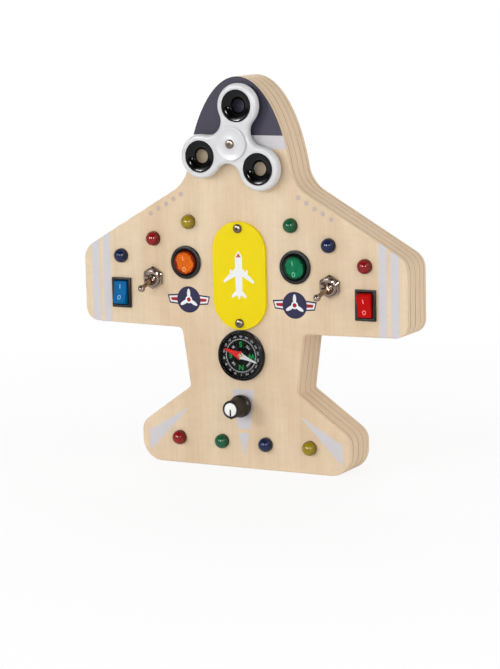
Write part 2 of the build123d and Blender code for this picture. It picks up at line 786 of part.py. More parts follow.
def terminal_spots():
    """Where each terminal stands: (x, z), the depth it starts and ends at, and whether it is a spade."""
    spots = []
    for _, (x, z), _, _ in rockers():
        for side in (1, -1):
            spots.append(((x, z + side * spade_spacing / 2), -rocker_case_depth,
                          -rocker_case_depth - spade_length, True))
    toggle_back = -front_thickness - toggle_plate_thickness - toggle_case_depth
    for x in (-toggle_x, toggle_x):
        for side in (1, -1):
            spots.append(((x, toggle_z + side * toggle_pin_spacing / 2), toggle_back,
                          toggle_back - toggle_spade_length, True))
    dimmer_back = -front_thickness - dimmer_depth
    for side in (-1, 0, 1):
        spots.append(((side * dimmer_pin_spacing, knob_z), dimmer_back,
                      dimmer_back - dimmer_pin_length, False))
    return spots


def build_terminals():
    pieces = []
    for (x, z), start, end, is_spade in terminal_spots():
        face = Rectangle(spade_width, spade_thickness) if is_spade else Circle(spade_thickness)
        pieces.append(on_front(x, z) * layer(face, end, start))
    nodes["switch_terminals"] = pieces


def build_lamps():
    base = -front_thickness - lamp_flange_thickness
    lens = Polyline((0, lamp_rise + lamp_radius), (0, base), (lamp_flange_radius, base),
                    (lamp_flange_radius, -front_thickness), (lamp_radius, -front_thickness),
                    (lamp_radius, lamp_rise)).edges()
    lens += CenterArc((0, lamp_rise), lamp_radius, 0, 90).edges()
    lens = revolve(Plane.XZ * make_face(lens), Axis.Z)
    leads = []
    for (x, z), colour in all_lamps():
        place = on_front(x, z)
        nodes.setdefault(f"lamps_{colour}", []).append(place * lens)
        for side in (1, -1):
            pin = Pos(side * lead_spacing / 2, 0) * disc(lead_radius, base - lead_length, base)
            leads.append(place * pin)
    nodes["lamp_leads"] = leads


def header_spots():
    """The board's wire headers: centre and size in x and z."""
    side_x = board_width / 2 - header_width / 2 - header_inset
    side_length = board_length - 4 * post_inset
    foot_z = board_z - board_length / 2 + header_width / 2 + header_inset
    foot_length = board_width - 6 * post_inset
    return {
        "left": (-side_x, board_z, header_width, side_length),
        "right": (side_x, board_z, header_width, side_length),
        "foot": (0, foot_z, foot_length, header_width),
    }


def build_control_board():
    rear = -front_thickness - post_height
    low = rear - board_thickness
    spots = post_spots()
    board = Pos(0, board_z) * layer(RectangleRounded(board_width, board_length, board_corner), low, rear)
    board -= [Pos(x, z) * disc(post_pin_radius, low, rear) for x, z in spots]
    nodes["control_board"] = on_front(0, 0) * board
    post = disc(post_radius, rear, -front_thickness) + disc(post_pin_radius, low, rear)
    post += disc(post_head_radius, low - post_head_height, low)
    nodes["board_posts"] = [on_front(x, z) * post for x, z in spots]
    parts = [Pos(x, z) * layer(Rectangle(width, length), low - header_height, low)
             for x, z, width, length in header_spots().values()]
    centre = Pos(0, board_z)
    parts.append(centre * Pos(*chip_spot) * layer(Rectangle(*chip_size), low - chip_height, low))
    parts.append(centre * Pos(*capacitor_spot) * disc(capacitor_radius, low - capacitor_height, low))
    parts.append(centre * Pos(*regulator_spot)
                 * layer(Rectangle(*regulator_size), low - regulator_height, low))
    resistor = layer(Rectangle(*resistor_size), low - resistor_height, low)
    parts += [centre * Pos(resistor_spot[0] + step * resistor_pitch, resistor_spot[1]) * resistor
              for step in range(resistor_count)]
    nodes["board_parts"] = [on_front(0, 0) * piece for piece in parts]


def build_battery_box():
    place = on_back(0, battery_z)
    rim = -lid_thickness
    floor = -battery_box_depth
    outer = RectangleRounded(battery_box_width, battery_box_length, battery_box_corner)
    inner = RectangleRounded(battery_box_width - 2 * battery_box_wall,
                             battery_box_length - 2 * battery_box_wall,
                             battery_box_corner - battery_box_wall)
    flange = RectangleRounded(battery_box_width + 2 * battery_flange,
                              battery_box_length + 2 * battery_flange, battery_box_corner)
    box = layer(outer, floor, rim)
    box += layer(flange, -back_thickness - battery_flange_thickness, -back_thickness)
    box -= layer(inner, floor + battery_box_wall, rim)
    screw_v = lid_screw_inset - battery_box_length / 2
    boss = Pos(0, screw_v) * disc(lid_boss_radius, floor + battery_box_wall, rim)
    box += boss
    box -= Pos(0, screw_v) * disc(lid_screw_radius + running_gap, rim - lid_hole_depth, rim)
    top_v = battery_box_length / 2 - battery_box_wall
    divider_v = top_v - cell_stack - battery_box_wall / 2
    divider = Pos(0, divider_v) * Rectangle(battery_box_width - battery_box_wall, battery_box_wall)
    box += layer(divider, floor + battery_box_wall, rim - divider_drop)
    nodes["battery_box"] = place * box

    lid = layer(outer, rim, 0)
    lip = Rectangle(lid_lip_width, lid_lip_thickness)
    lip_v = top_v - moving_gap - lid_lip_thickness / 2
    lid += Pos(0, lip_v) * layer(lip, rim - lid_lip_depth, rim)
    lid -= Pos(0, screw_v) * disc(lid_screw_radius + hole_gap, rim, 0)
    lid -= Pos(0, screw_v) * disc(lid_screw_head_radius, -lid_screw_head_height, 0)
    nodes["battery_lid"] = place * lid
    screw = disc(lid_screw_head_radius, -lid_screw_head_height, 0)
    screw -= cross_slot(lid_slot_width, lid_slot_depth, 0, 0.7 * lid_screw_head_radius)
    screw += disc(lid_screw_radius, rim - lid_screw_length, -lid_screw_head_height)
    nodes["lid_screw"] = place * Pos(0, screw_v) * screw

    depth = floor + battery_box_wall + moving_gap + cell_radius
    cells, contacts = [], []
    for row in range(cell_count):
        u = (row - (cell_count - 1) / 2) * cell_pitch
        flip = -1 if row % 2 else 1
        middle = Pos(u, top_v - cell_stack / 2, depth) * Rot(-90 * flip, 0, 0)
        plus = cell_stack / 2 - contact_thickness
        can_high = plus - cell_nub_length
        can_low = can_high - cell_length
        cells.append(place * middle * (disc(cell_radius, can_low, can_high)
                                       + disc(cell_nub_radius, can_high, plus)))
        tab = Rectangle(contact_side, contact_side)
        contacts.append(place * middle * layer(tab, plus, cell_stack / 2))
        spring = Cone(spring_radius, spring_radius / 2, spring_length)
        spring = Pos(0, 0, can_low - spring_length / 2) * spring
        contacts.append(place * middle * (layer(tab, -cell_stack / 2, can_low - spring_length) + spring))
    nodes["batteries"] = cells
    nodes["battery_contacts"] = contacts


def wire(points, radius):
    """A round wire along straight runs joined by arcs as large as the runs allow."""
    points = [Vector(*point) for point in points]
    radii = []
    for before, corner, after in zip(points, points[1:], points[2:]):
        turn = radians((corner - before).get_angle(after - corner))
        shorter = min((corner - before).length, (after - corner).length)
        radii.append(bend_share * shorter / tan(turn / 2))
    path = FilletPolyline(*points, radius=radii)
    start = Plane(origin=points[0], z_dir=points[1] - points[0])
    tube = sweep(start * Circle(radius), path=path)
    smallest_arcs.append((min(radii) / radius / 2, tube.volume / (pi * radius**2 * path.length)))
    return tube


def crossing(start, end):
    """A point half way along a long run of wire, where the wire hangs a little to one side."""
    span = end - start
    if span.length < longest_straight_wire:
        return []
    side = Vector(-span.Z, 0, span.X).normalized()
    return [start + span * 0.5 - side * copysign(wire_bow, side.Z)]


def run_to(start_x, start_z, level, route, end_x, end_z, end_y, radius):
    """A wire off the board's back, over to a terminal along one level, and down to the terminal."""
    head_y = front_y + front_thickness + post_height + board_thickness + header_height
    first = Vector(start_x, level, start_z)
    last = Vector(end_x, level, end_z)
    stops = [first] + [Vector(x, level, z) for x, z in route] + [last]
    points = [Vector(start_x, head_y, start_z)]
    for here, there in zip(stops, stops[1:]):
        points += [here] + crossing(here, there)
    points += [last, Vector(end_x, end_y, end_z)]
    return wire(points, radius)


def build_wiring():
    headers = header_spots()
    side_x = headers["right"][0]
    foot_z = headers["foot"][1]
    lamp_end = front_y + front_thickness + lamp_flange_thickness + lead_length
    wires = []
    wing_lamps = [(lamp_inner, inner_lamp_pin), (lamp_middle, middle_lamp_pin),
                  (lamp_outer, outer_lamp_pin)]
    for (x, z), pin in wing_lamps:
        for side in (-1, 1):
            wires.append(run_to(side * side_x, board_z + pin, lamp_wire_y, [], side * x, z,
                                lamp_end, lamp_wire_radius))
    tail_lamps = [(lamp_tail_outer, tail_outer_pin_x, [(waist_wire_x, waist_wire_z)]),
                  (lamp_tail_inner, tail_inner_pin_x, [])]
    for (x, z), pin, route in tail_lamps:
        for side in (-1, 1):
            wires.append(run_to(side * pin, foot_z, lamp_wire_y,
                                [(side * u, v) for u, v in route], side * x, z,
                                lamp_end, lamp_wire_radius))
    switches = {round_rocker_x: (round_rocker_z, *round_rocker_pins),
                toggle_x: (toggle_z, *toggle_pins), rect_rocker_x: (rect_rocker_z, *rect_rocker_pins)}
    for (x, z), _, end, is_spade in terminal_spots():
        if is_spade:
            centre_z, upper, lower = switches[abs(x)]
            pin = board_z + (upper if z > centre_z else lower)
            wires.append(run_to(side_x if x > 0 else -side_x, pin, switch_wire_y, [], x, z,
                                front_y - end, switch_wire_radius))
        else:
            wires.append(run_to(x * dimmer_pin_x_share, foot_z, switch_wire_y, [], x, z,
                                front_y - end, switch_wire_radius))
    board_rear_y = front_y + front_thickness + post_height + board_thickness
    for x in (-battery_wire_x, battery_wire_x):
        wires.append(wire([(x, battery_wire_y, battery_z - battery_box_length / 2),
                           (x, battery_wire_y, battery_wire_z), (x, board_rear_y, battery_wire_z)],
                          switch_wire_radius))
    nodes["wiring"] = wires


def write_nodes():
    os.makedirs("parts", exist_ok=True)
    for name, shape in nodes.items():
        solids = [solid for piece in (shape if isinstance(shape, list) else [shape])
                  for solid in piece.solids()]
        whole = solids[0] if len(solids) == 1 else Compound(children=solids)
        whole.label = name
        export_step(whole, f"parts/{name}.step")


smallest_arcs = []
build_board()
build_spinner()
build_badge()
build_compass()
build_dimmer()
build_toggles()
build_rockers()
build_terminals()
build_lamps()
build_control_board()
build_battery_box()
build_wiring()
write_nodes()
print(len(nodes), "nodes")
print("smallest wire bend", round(min(bend for bend, _ in smallest_arcs), 2), "diameters")
print("wire volume over section times length", round(min(share for _, share in smallest_arcs), 4),
      round(max(share for _, share in smallest_arcs), 4))
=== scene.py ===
from math import cos, pi, radians, sin, sqrt, tan

import bmesh
import bpy
from mathutils import Matrix, Vector


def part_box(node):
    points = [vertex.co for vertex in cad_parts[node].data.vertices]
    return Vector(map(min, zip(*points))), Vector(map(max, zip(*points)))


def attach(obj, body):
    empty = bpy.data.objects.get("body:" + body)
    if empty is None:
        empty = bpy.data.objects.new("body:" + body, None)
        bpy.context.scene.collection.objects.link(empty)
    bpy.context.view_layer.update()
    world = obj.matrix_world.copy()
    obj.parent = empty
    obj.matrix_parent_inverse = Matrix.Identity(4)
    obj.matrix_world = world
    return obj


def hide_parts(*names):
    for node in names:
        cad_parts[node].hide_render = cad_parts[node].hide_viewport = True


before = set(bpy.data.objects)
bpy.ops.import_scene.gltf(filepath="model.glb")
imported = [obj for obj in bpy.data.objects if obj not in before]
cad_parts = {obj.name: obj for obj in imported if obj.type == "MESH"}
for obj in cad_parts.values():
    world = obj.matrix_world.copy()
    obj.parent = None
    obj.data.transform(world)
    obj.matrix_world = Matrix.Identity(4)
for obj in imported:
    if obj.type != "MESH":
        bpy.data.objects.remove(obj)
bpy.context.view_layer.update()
mm = 0.001
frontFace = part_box("front_panel")[0].y / mm    # where the printed face lies, along y
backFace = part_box("back_panel")[1].y / mm
core = 0.02    # the smallest ring of a lathe shape, in millimetres, where it closes on its axis
sides = {"left": -1, "right": 1}    # along x, seen from the front
white = (1, 1, 1, 1)
print("frame loaded:", len(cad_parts), "nodes")


# Colours and shader maths

def tint(red, green, blue):
    # a screen colour, 0 to 255, as the linear colour that a shader wants
    shares = [value / 255 for value in (red, green, blue)]
    return tuple(s / 12.92 if s <= 0.04045 else ((s + 0.055) / 1.055) ** 2.4 for s in shares) + (1,)


def dimmed(colour, share):
    return tuple(share * part for part in colour[:3]) + (1,)


class Flow:
    # a value on its way through a node tree: adding to it adds a Math node
    def __init__(self, nodes, socket):
        self.nodes = nodes
        self.socket = socket

    def math(self, operation, *values):
        return self.nodes.node("Math", dict(enumerate(values)), operation=operation)

    def __add__(self, other):
        return self.math("ADD", self, other)

    def __radd__(self, other):
        return self.math("ADD", other, self)

    def __sub__(self, other):
        return self.math("SUBTRACT", self, other)

    def __rsub__(self, other):
        return self.math("SUBTRACT", other, self)

    def __mul__(self, other):
        return self.math("MULTIPLY", self, other)

    def __truediv__(self, other):
        return self.math("DIVIDE", self, other)

    def __abs__(self):
        return self.math("ABSOLUTE", self)

    def least(self, other):
        return self.math("MINIMUM", self, other)

    def most(self, other):
        return self.math("MAXIMUM", self, other)

    def distance(self, other):
        squares = self * self + other * other
        return squares.math("SQRT", squares)

    def wave(self):
        return self.math("SINE", self)

    def edge(self, sharp):
        # 0 below nought and 1 above it, with a ramp as steep as asked
        share = self.math("MULTIPLY_ADD", self, sharp, 0.5)
        share.socket.node.use_clamp = True
        return share


class Nodes:
    # the node tree of a material or of the world, being wired
    def __init__(self, tree):
        self.tree = tree

    def feed(self, socket, value):
        if isinstance(value, Flow):
            self.tree.links.new(value.socket, socket)
        else:
            socket.default_value = value

    def node(self, kind, inputs=None, output=0, **settings):
        made = self.tree.nodes.new("ShaderNode" + kind)
        for key, value in settings.items():
            setattr(made, key, value)
        for key, value in (inputs or {}).items():
            self.feed(made.inputs[key], value)
        return Flow(self, made.outputs[output])

    def ray(self, kind):
        return self.node("LightPath", output=f"Is {kind} Ray")

    def looked(self):
        # 1 where it is looked at, also in a mirror and through glass, and 0 where it only gives light
        return self.ray("Camera").most(self.ray("Glossy")).most(self.ray("Transmission"))


class Finish(Nodes):
    # a material being made
    def __init__(self, name, roughness=0.5, metallic=0.0, **constants):
        self.material = bpy.data.materials.new(name)
        self.material.use_nodes = True
        super().__init__(self.material.node_tree)
        self.shader = self.tree.nodes["Principled BSDF"]
        self.set(roughness=roughness, metallic=metallic, **constants)

    def set(self, **sockets):
        for key, value in sockets.items():
            words = "".join(" " + c if c.isupper() else c for c in key)
            words = {"specular Level": "specular IOR Level", "bend": "IOR"}.get(words, words)
            self.feed(self.shader.inputs[words[0].upper() + words[1:]], value)

    def mix(self, share, first, second):
        return self.node("Mix", {0: share, 6: first, 7: second}, 2, data_type="RGBA")

    def spot(self):
        return self.node("TexCoord", output="Object")

    def place(self):
        # x, y and z in millimetres
        scaled = self.node("VectorMath", {0: self.spot(), "Scale": 1 / mm}, operation="SCALE")
        return [self.node("SeparateXYZ", {0: scaled}, axis) for axis in range(3)]

    def noise(self, grain, detail=3.0, roughness=0.5, distortion=0.0):
        # grain is how often the pattern repeats per millimetre, along each axis where it differs
        grain = grain if isinstance(grain, tuple) else (grain, grain, grain)
        scaled = self.node("Mapping", {0: self.spot(), "Scale": [g / mm for g in grain]})
        return self.node("TexNoise", {"Vector": scaled, "Scale": 1.0, "Detail": detail,
                                      "Roughness": roughness, "Distortion": distortion})

    def bump(self, height, depth, strength=1.0):
        # depth is in millimetres
        self.set(normal=self.node("Bump", {"Height": height, "Distance": depth * mm, "Strength": strength}))


# Wood, and the paint on its front

wood = dict(
    pale=tint(229, 208, 179), deep=tint(211, 186, 153), vein=tint(194, 156, 114),
    plyPale=tint(238, 216, 187), plyDeep=tint(214, 180, 141), plyPitch=1.35,
    glue=tint(96, 50, 28), glueHalf=0.32,
    layers=["front_panel", "frame_front", "frame_middle", "frame_rear"])
paint = dict(
    lilac=tint(203, 201, 207), dotInk=tint(189, 170, 163), navy=tint(44, 43, 69), sharp=9,
    noseLow=230.5, bandLow=221.5,
    stripes=[(103.9, 109.7), (112.6, 118.9)],
    dots=[(45.3, 189.1), (51.3, 185.6), (57.3, 182.0), (63.5, 178.7), (69.7, 175.1)], dotRadius=1.75,
    finLow=Vector((75.3, 6.8)), finHigh=Vector((75.2, 21.8)), finTip=Vector((42.8, 40.3)),
    # the two tapering marks above and below the knob, as heights and half widths
    wedgeTop=(55.4, 8.4), wedgeLow=(27.7, 4.9), pointTop=(24.7, 4.3), pointLow=8.0)


def woodColour(finish):
    # birch veneer: long soft bands and fine fibres up the board, with short dark flecks
    bands = finish.noise((0.06, 0.3, 0.0035), 3, 0.55, 0.6)
    fibres = finish.noise((1.1, 1.1, 0.028), 4, 0.6)
    fine = finish.noise((5.0, 5.0, 0.12), 2, 0.6)
    cloud = finish.noise((0.1, 0.3, 0.3), 2, 0.5, 0.4)
    soft = (bands - 0.5) * 1.3 + (fibres - 0.5) * 0.9 + (fine - 0.5) * 0.3 - 0.1 + (cloud - 0.5) * 0.5
    face = finish.mix(soft.edge(1), wood["pale"], wood["deep"])
    warm = (finish.noise((0.028, 0.1, 0.012), 2) - 0.56).edge(5)
    flecks = (finish.noise((1.6, 1.6, 0.11), 1) - 0.71).edge(14)
    for share in (warm * 0.28, flecks * 0.4):
        face = finish.mix(share, face, wood["vein"])
    return face, fibres, fine


def plyColour(finish, y):
    # the cut edge: thin plies that run with and across the board, and the joints between layers
    turns = (y * (2 * pi / wood["plyPitch"])).wave()
    streaks = finish.noise((0.13, 2.4, 0.13), 4, 0.65)
    coarse = finish.noise((0.02, 0.5, 0.02), 2)
    share = turns * 0.2 + (streaks - 0.5) * 0.9 + (coarse - 0.5) * 0.8 - 0.1
    edge = finish.mix(share.edge(1), wood["plyPale"], wood["plyDeep"])
    line = None
    for layer in wood["layers"]:
        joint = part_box(layer)[1].y / mm
        near = (wood["glueHalf"] - abs(y - joint)).edge(7)
        line = near if line is None else line.most(near)
    dark = (finish.noise((0.035, 0.1, 0.035), 2) - 0.5).edge(6) * 0.5 + 0.5
    return finish.mix(line * dark, edge, wood["glue"]), line


def paintShares(x, z):
    # where the lilac paint, the thinner ink of the dots and the navy paint lie on the front face
    side, sharp = abs(x), paint["sharp"]
    lilac = (z - paint["bandLow"]).least(paint["noseLow"] - z).edge(sharp)
    for near, far in paint["stripes"]:
        lilac = lilac.most((side - near).least(far - side).edge(sharp))
    dots = None
    for dotX, dotZ in paint["dots"]:
        dot = (paint["dotRadius"] - (side - dotX).distance(z - dotZ)).edge(sharp)
        dots = dot if dots is None else dots.most(dot)
    low, high = paint["finLow"], paint["finHigh"]
    under, over = (paint["finTip"] - low).normalized(), (paint["finTip"] - high).normalized()
    fin = ((side - low.x) * under.y - (z - low.y) * under.x).least(low.x - side)
    fin = fin.least((z - high.y) * over.x - (side - high.x) * over.y)
    (topZ, topX), (lowZ, lowX) = paint["wedgeTop"], paint["wedgeLow"]
    slope = (topX - lowX) / (topZ - lowZ)
    wedge = ((z - lowZ) * slope + lowX - side).least(topZ - z).least(z - lowZ)
    pointZ, pointX = paint["pointTop"]
    slope = pointX / (pointZ - paint["pointLow"])
    point = ((z - paint["pointLow"]) * slope - side).least(pointZ - z)
    for shape in (fin, wedge, point):
        lilac = lilac.most(shape.edge(sharp))
    return lilac, dots, (z - paint["noseLow"]).edge(sharp)


def makeWood(name, painted):
    finish = Finish(name, roughness=0.55, specularLevel=0.16)
    x, y, z = finish.place()
    face, fibres, fine = woodColour(finish)
    edge, line = plyColour(finish, y)
    normal = finish.node("NewGeometry", output="Normal")
    facing = finish.node("SeparateXYZ", {0: normal}, 1)
    colour = finish.mix((abs(facing) - 0.72).edge(7), edge, face)
    rough = 0.5 + fine * 0.16
    height = fibres * 0.6 + fine * 0.4 - line * 2.2
    if painted:
        front = (-0.35 - facing).edge(9)
        lilac, dots, navy = [share * front for share in paintShares(x, z)]
        inks = ((lilac * 0.93, paint["lilac"]), (dots * 0.9, paint["dotInk"]), (navy * 0.97, paint["navy"]))
        for share, ink in inks:
            colour = finish.mix(share, colour, ink)
        rough = rough - lilac * 0.08 - navy * 0.12
        height = height + lilac * 0.5 + navy * 0.5
    finish.set(baseColor=colour, roughness=rough)
    finish.bump(height, 0.05, 0.5)
    return finish.material


# Plastics, metals and glass

def makePlastic(name, colour, roughness, grain, mottle, shine=0.2, coat=0.0):
    # moulded plastic: faint cloudy colour, handling marks in the gloss, and a grain where asked
    finish = Finish(name, coatWeight=coat, coatRoughness=0.06, specularLevel=shine)
    cloud = finish.noise(0.12)
    finish.set(baseColor=finish.mix(cloud.edge(1), dimmed(colour, 1 - 2.2 * mottle), colour))
    marks = finish.noise(0.5, 4, 0.6)
    finish.set(roughness=(marks - 0.5) * (0.4 * roughness) + roughness)
    skin = finish.noise(3.2, 3, 0.6)
    finish.bump(skin + marks * 0.5, 0.004 + 0.05 * grain, 0.3 + 0.3 * grain)
    return finish.material


def makeClearButton(name, colour, dark, middle):
    # see-through plastic over moulded ribs, with painted light beside the middle and painted shade, broken
    # by the ribs, towards the rim
    paintedLightX, paintedLightZ, paintedLightReach = middle[0] + 1.2, middle[1] + 0.3, 7.1
    finish = Finish(name, specularLevel=0.15)
    x, _, z = finish.place()
    across, up = (x - paintedLightX) * 1.08, z - paintedLightZ
    facets = finish.node("TexVoronoi", {"Vector": finish.spot(), "Scale": 0.75 / mm}, feature="F1")
    cloud = finish.noise(0.35, 2)
    # painted shade: the dark colour takes over past a reach from a painted light spot a little right of and
    # above the middle
    rim = (across.distance(up) + (facets - 0.4) * 1.6 + (across + up) * 0.04 - paintedLightReach).edge(1.5)
    ribs = (facets * 0.9 + cloud * 0.5 - 0.7).edge(1.5)
    body = finish.mix(ribs, colour, dimmed(colour, 0.66))
    finish.set(baseColor=finish.mix(rim, body, dark), roughness=0.22 + cloud * 0.12)
    finish.bump(cloud, 0.02, 0.3)
    return finish.material


def makeMetal(name, colour, roughness, grain):
    # plated or turned metal: fine tool lines and slightly dulled patches
    finish = Finish(name, metallic=1.0)
    lines = finish.noise(grain, 3, 0.6)
    patches = finish.noise(0.25, 3, 0.55)
    finish.set(baseColor=finish.mix(patches.edge(1), colour, dimmed(colour, 0.82)))
    finish.set(roughness=roughness + (patches - 0.4).most(0.0) * 0.12 + lines * 0.06)
    finish.bump(lines, 0.012, 0.3)
    return finish.material


def makeLamp(name, tip, rim):
    # a diffused lamp body with painted shade: darker towards the rim by the board and lighter towards the
    # tip
    finish = Finish(name, specularLevel=0.34)
    _, y, _ = finish.place()
    cloud = finish.noise(0.6)
    # painted shade: the tip colour's share grows with height above the board, with a little random cloud
    height = ((frontFace - y) / (lamp["rise"] + lamp["radius"]) + (cloud - 0.5) * 0.2 - 0.5).edge(1.4)
    finish.set(baseColor=finish.mix(height, rim, tip))
    marks = finish.noise(0.9)
    finish.set(roughness=0.16 + marks * 0.04)
    finish.bump(marks, 0.003, 0.2)
    return finish.material


def makeGlass(name):
    finish = Finish(name, transmissionWeight=1.0, specularLevel=0.3, bend=1.1)
    haze = finish.noise(0.4)
    finish.set(baseColor=finish.mix(haze, tint(254, 255, 255), tint(248, 250, 250)))
    finish.set(roughness=haze * 0.012)
    return finish.material


# the material's name and colour, then roughness, grain, mottle, shine and coat
plastics = {
    "whiteShell": ("white_shell", (212, 212, 214), 0.3, 0.05, 0.015, 0.35),
    "capWhite": ("cap_white", (236, 236, 235), 0.35, 0.05, 0.015, 0.3),
    "blackGloss": ("gloss_black", (5, 5, 5), 0.1, 0.0, 0.05, 0.22),
    "blackSatin": ("satin_black", (22, 22, 22), 0.36, 0.4, 0.08, 0.25),
    "blackCase": ("case_gloss_black", (7, 7, 7), 0.13, 0.05, 0.06, 0.3),
    "knobBlack": ("knob_black", (24, 19, 17), 0.24, 0.15, 0.08, 0.35),
    "yellowPlate": ("yellow_plate", (233, 209, 2), 0.45, 0.2, 0.02, 0.08),
    "blue": ("blue_button", (0, 96, 155), 0.55, 0.05, 0.05, 0.04),
    "red": ("red_button", (187, 11, 9), 0.5, 0.05, 0.05, 0.05),
    "orangeMark": ("orange_mark", (250, 178, 120), 0.4, 0.1, 0.02),
    "greenMark": ("green_mark", (120, 205, 170), 0.4, 0.1, 0.02),
    "blueMark": ("blue_mark", (140, 190, 228), 0.4, 0.1, 0.02),
    "redMark": ("red_mark", (250, 150, 145), 0.4, 0.1, 0.02),
    "printWhite": ("white_print", (232, 232, 234), 0.45, 0.1, 0.03, 0.15),
    "printGrey": ("grey_print", (232, 232, 234), 0.5, 0.1, 0.04, 0.1),
    "printNavy": ("navy_print", (40, 38, 72), 0.45, 0.1, 0.05, 0.15),
    "printRed": ("red_print", (164, 28, 38), 0.45, 0.1, 0.05, 0.15),
    "printOrange": ("orange_print", (200, 84, 36), 0.45, 0.1, 0.05, 0.15),
    "printGreen": ("green_print", (24, 172, 84), 0.45, 0.1, 0.05, 0.15),
    "dialBlack": ("dial_black", (10, 10, 11), 0.6, 0.2, 0.05, 0.1),
    "needleRed": ("needle_red", (210, 26, 26), 0.35, 0.1, 0.04),
    "needleWhite": ("needle_white", (238, 238, 236), 0.35, 0.1, 0.02),
    "boardGreen": ("board_green", (24, 92, 52), 0.3, 0.2, 0.06, 0.2, 0.3),
    "cellSleeve": ("cell_sleeve", (44, 46, 52), 0.3, 0.1, 0.04, 0.2, 0.4),
    "sheath": ("wire_sheath", (150, 36, 34), 0.5, 0.2, 0.05),
}
# the material's name and colour, then roughness and how fine the tool lines are
metals = {
    "chrome": ("bright_nickel", (164, 146, 134), 0.09, (0.8, 2.5, 0.8)),
    "zinc": ("zinc_plate", (122, 111, 100), 0.26, 2.0),
    "brass": ("turned_brass", (214, 194, 148), 0.22, 2.0),
    "bearing": ("ground_steel", (180, 182, 186), 0.2, 3.0),
}
finishes = {"woodFront": makeWood("painted_birch", True), "wood": makeWood("plain_birch", False),
            "lens": makeGlass("clear_lens")}
for makeFinish, table in ((makePlastic, plastics), (makeMetal, metals)):
    for key, (name, colour, *measures) in table.items():
        finishes[key] = makeFinish(name, tint(*colour), *measures)
print("finishes made:", len(finishes))

# the CAD nodes that keep their own shape
keptNodes = {
    "woodFront": ["front_panel"],
    "wood": ["frame_front", "frame_middle", "frame_rear", "back_panel"],
    "whiteShell": ["spinner_body", "spinner_rear_cap", "knob_shaft", "board_posts"],
    "blackGloss": ["spinner_rings"],
    "blackSatin": ["toggle_cases", "board_parts", "battery_box"],
    "yellowPlate": ["badge_plate"],
    "dialBlack": ["compass_dial"],
    "zinc": ["back_screws", "spinner_nut", "badge_nuts", "compass_pivot", "dimmer_case",
             "dimmer_washer", "dimmer_nut", "switch_terminals", "lamp_leads", "battery_contacts"],
    "bearing": ["spinner_outer_race", "spinner_inner_race", "spinner_balls"],
    "brass": ["spinner_cage"],
    "boardGreen": ["control_board"],
    "cellSleeve": ["batteries"],
    "sheath": ["wiring"],
}
for finishName, nodes in keptNodes.items():
    for node in nodes:
        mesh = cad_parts[node].data
        mesh.materials.clear()
        mesh.materials.append(finishes[finishName])
print("CAD nodes finished:", sum(len(nodes) for nodes in keptNodes.values()))


# Modelling moves, in millimetres and degrees; a piece is made lying down, with its front up

def letGo():
    if bpy.context.object and bpy.context.object.mode != "OBJECT":
        bpy.ops.object.mode_set(mode="OBJECT")
    bpy.ops.object.select_all(action="DESELECT")


def only(piece):
    letGo()
    piece.select_set(True)
    bpy.context.view_layer.objects.active = piece


def begin(name, addPrimitive, **sizes):
    # a new piece, left open for editing with all of it selected
    letGo()
    addPrimitive(enter_editmode=True, location=(0, 0, 0), **sizes)
    bpy.ops.mesh.select_mode(type="VERT")
    bpy.ops.mesh.select_all(action="SELECT")
    piece = bpy.context.object
    piece.name = piece.data.name = name
    return piece


def block(name, wide, long, high):
    piece = begin(name, bpy.ops.mesh.primitive_cube_add, size=1)
    bpy.ops.transform.resize(value=(wide * mm, long * mm, high * mm))
    return piece


def pick(kind, test):
    # selects the parts of a kind, VERT or FACE, that pass the test
    bpy.ops.mesh.select_mode(type=kind)
    bpy.ops.mesh.select_all(action="DESELECT")
    data = bpy.context.object.data
    mesh = bmesh.from_edit_mesh(data)
    for part in (mesh.verts if kind == "VERT" else mesh.faces):
        part.select_set(test(part))
    bmesh.update_edit_mesh(data)


def facesUp(face):
    return face.normal.z > 0.9


def facesDown(face):
    return face.normal.z < -0.9


def settle(weld=0.0):
    # joins points that lie together, where asked, and turns all faces outwards
    bpy.ops.mesh.select_all(action="SELECT")
    if weld:
        bpy.ops.mesh.remove_doubles(threshold=weld * mm)
    bpy.ops.mesh.normals_make_consistent(inside=False)


def shift(x=0, y=0, z=0):
    bpy.ops.transform.translate(value=(x * mm, y * mm, z * mm))


def grow(height, across, along=None):
    # scales what is selected about the axis, at one height
    share = (across, across if along is None else along, 1)
    bpy.ops.transform.resize(value=share, center_override=(0, 0, height * mm))


def pull(height):
    bpy.ops.mesh.extrude_region_move(TRANSFORM_OT_translate={"value": (0, 0, height * mm)})


def turned(name, profile, steps=72):
    # a lathe shape, ring by ring, from (radius, height) pairs; a profile that ends where it starts is closed
    radius, height = profile[0]
    piece = begin(name, bpy.ops.mesh.primitive_circle_add, vertices=steps, radius=radius * mm)
    shift(z=height)
    for wide, high in profile[1:]:
        pull(high - height)
        grow(high, wide / radius)
        radius, height = wide, high
    settle(0.0004)
    if profile[0] != profile[-1]:
        bpy.ops.mesh.select_all(action="DESELECT")
        bpy.ops.mesh.select_mode(type="EDGE")
        bpy.ops.mesh.select_non_manifold()
        bpy.ops.mesh.edge_face_add()
        settle()
    return piece


def arc(centre, radius, start, end, steps):
    # points of a round corner in a lathe profile; angles from straight out
    angles = [radians(start + (end - start) * step / steps) for step in range(steps + 1)]
    return [(centre[0] + radius * cos(a), centre[1] + radius * sin(a)) for a in angles]


def modify(piece, kind, **settings):
    only(piece)
    modifier = piece.modifiers.new("shaping", kind)
    for key, value in settings.items():
        setattr(modifier, key, value)
    bpy.ops.object.modifier_apply(modifier=modifier.name)
    return piece


def soften(piece, width, segments=2, angle=30):
    return modify(piece, "BEVEL", width=width * mm, segments=segments, limit_method="ANGLE",
                  angle_limit=radians(angle), harden_normals=False)


def carve(piece, cutter, operation="DIFFERENCE"):
    modify(piece, "BOOLEAN", operation=operation, solver="EXACT", object=cutter)
    bpy.data.objects.remove(cutter)


def copyOf(piece, name):
    only(piece)
    bpy.ops.object.duplicate(linked=False)
    made = bpy.context.object
    made.name = made.data.name = name
    return made


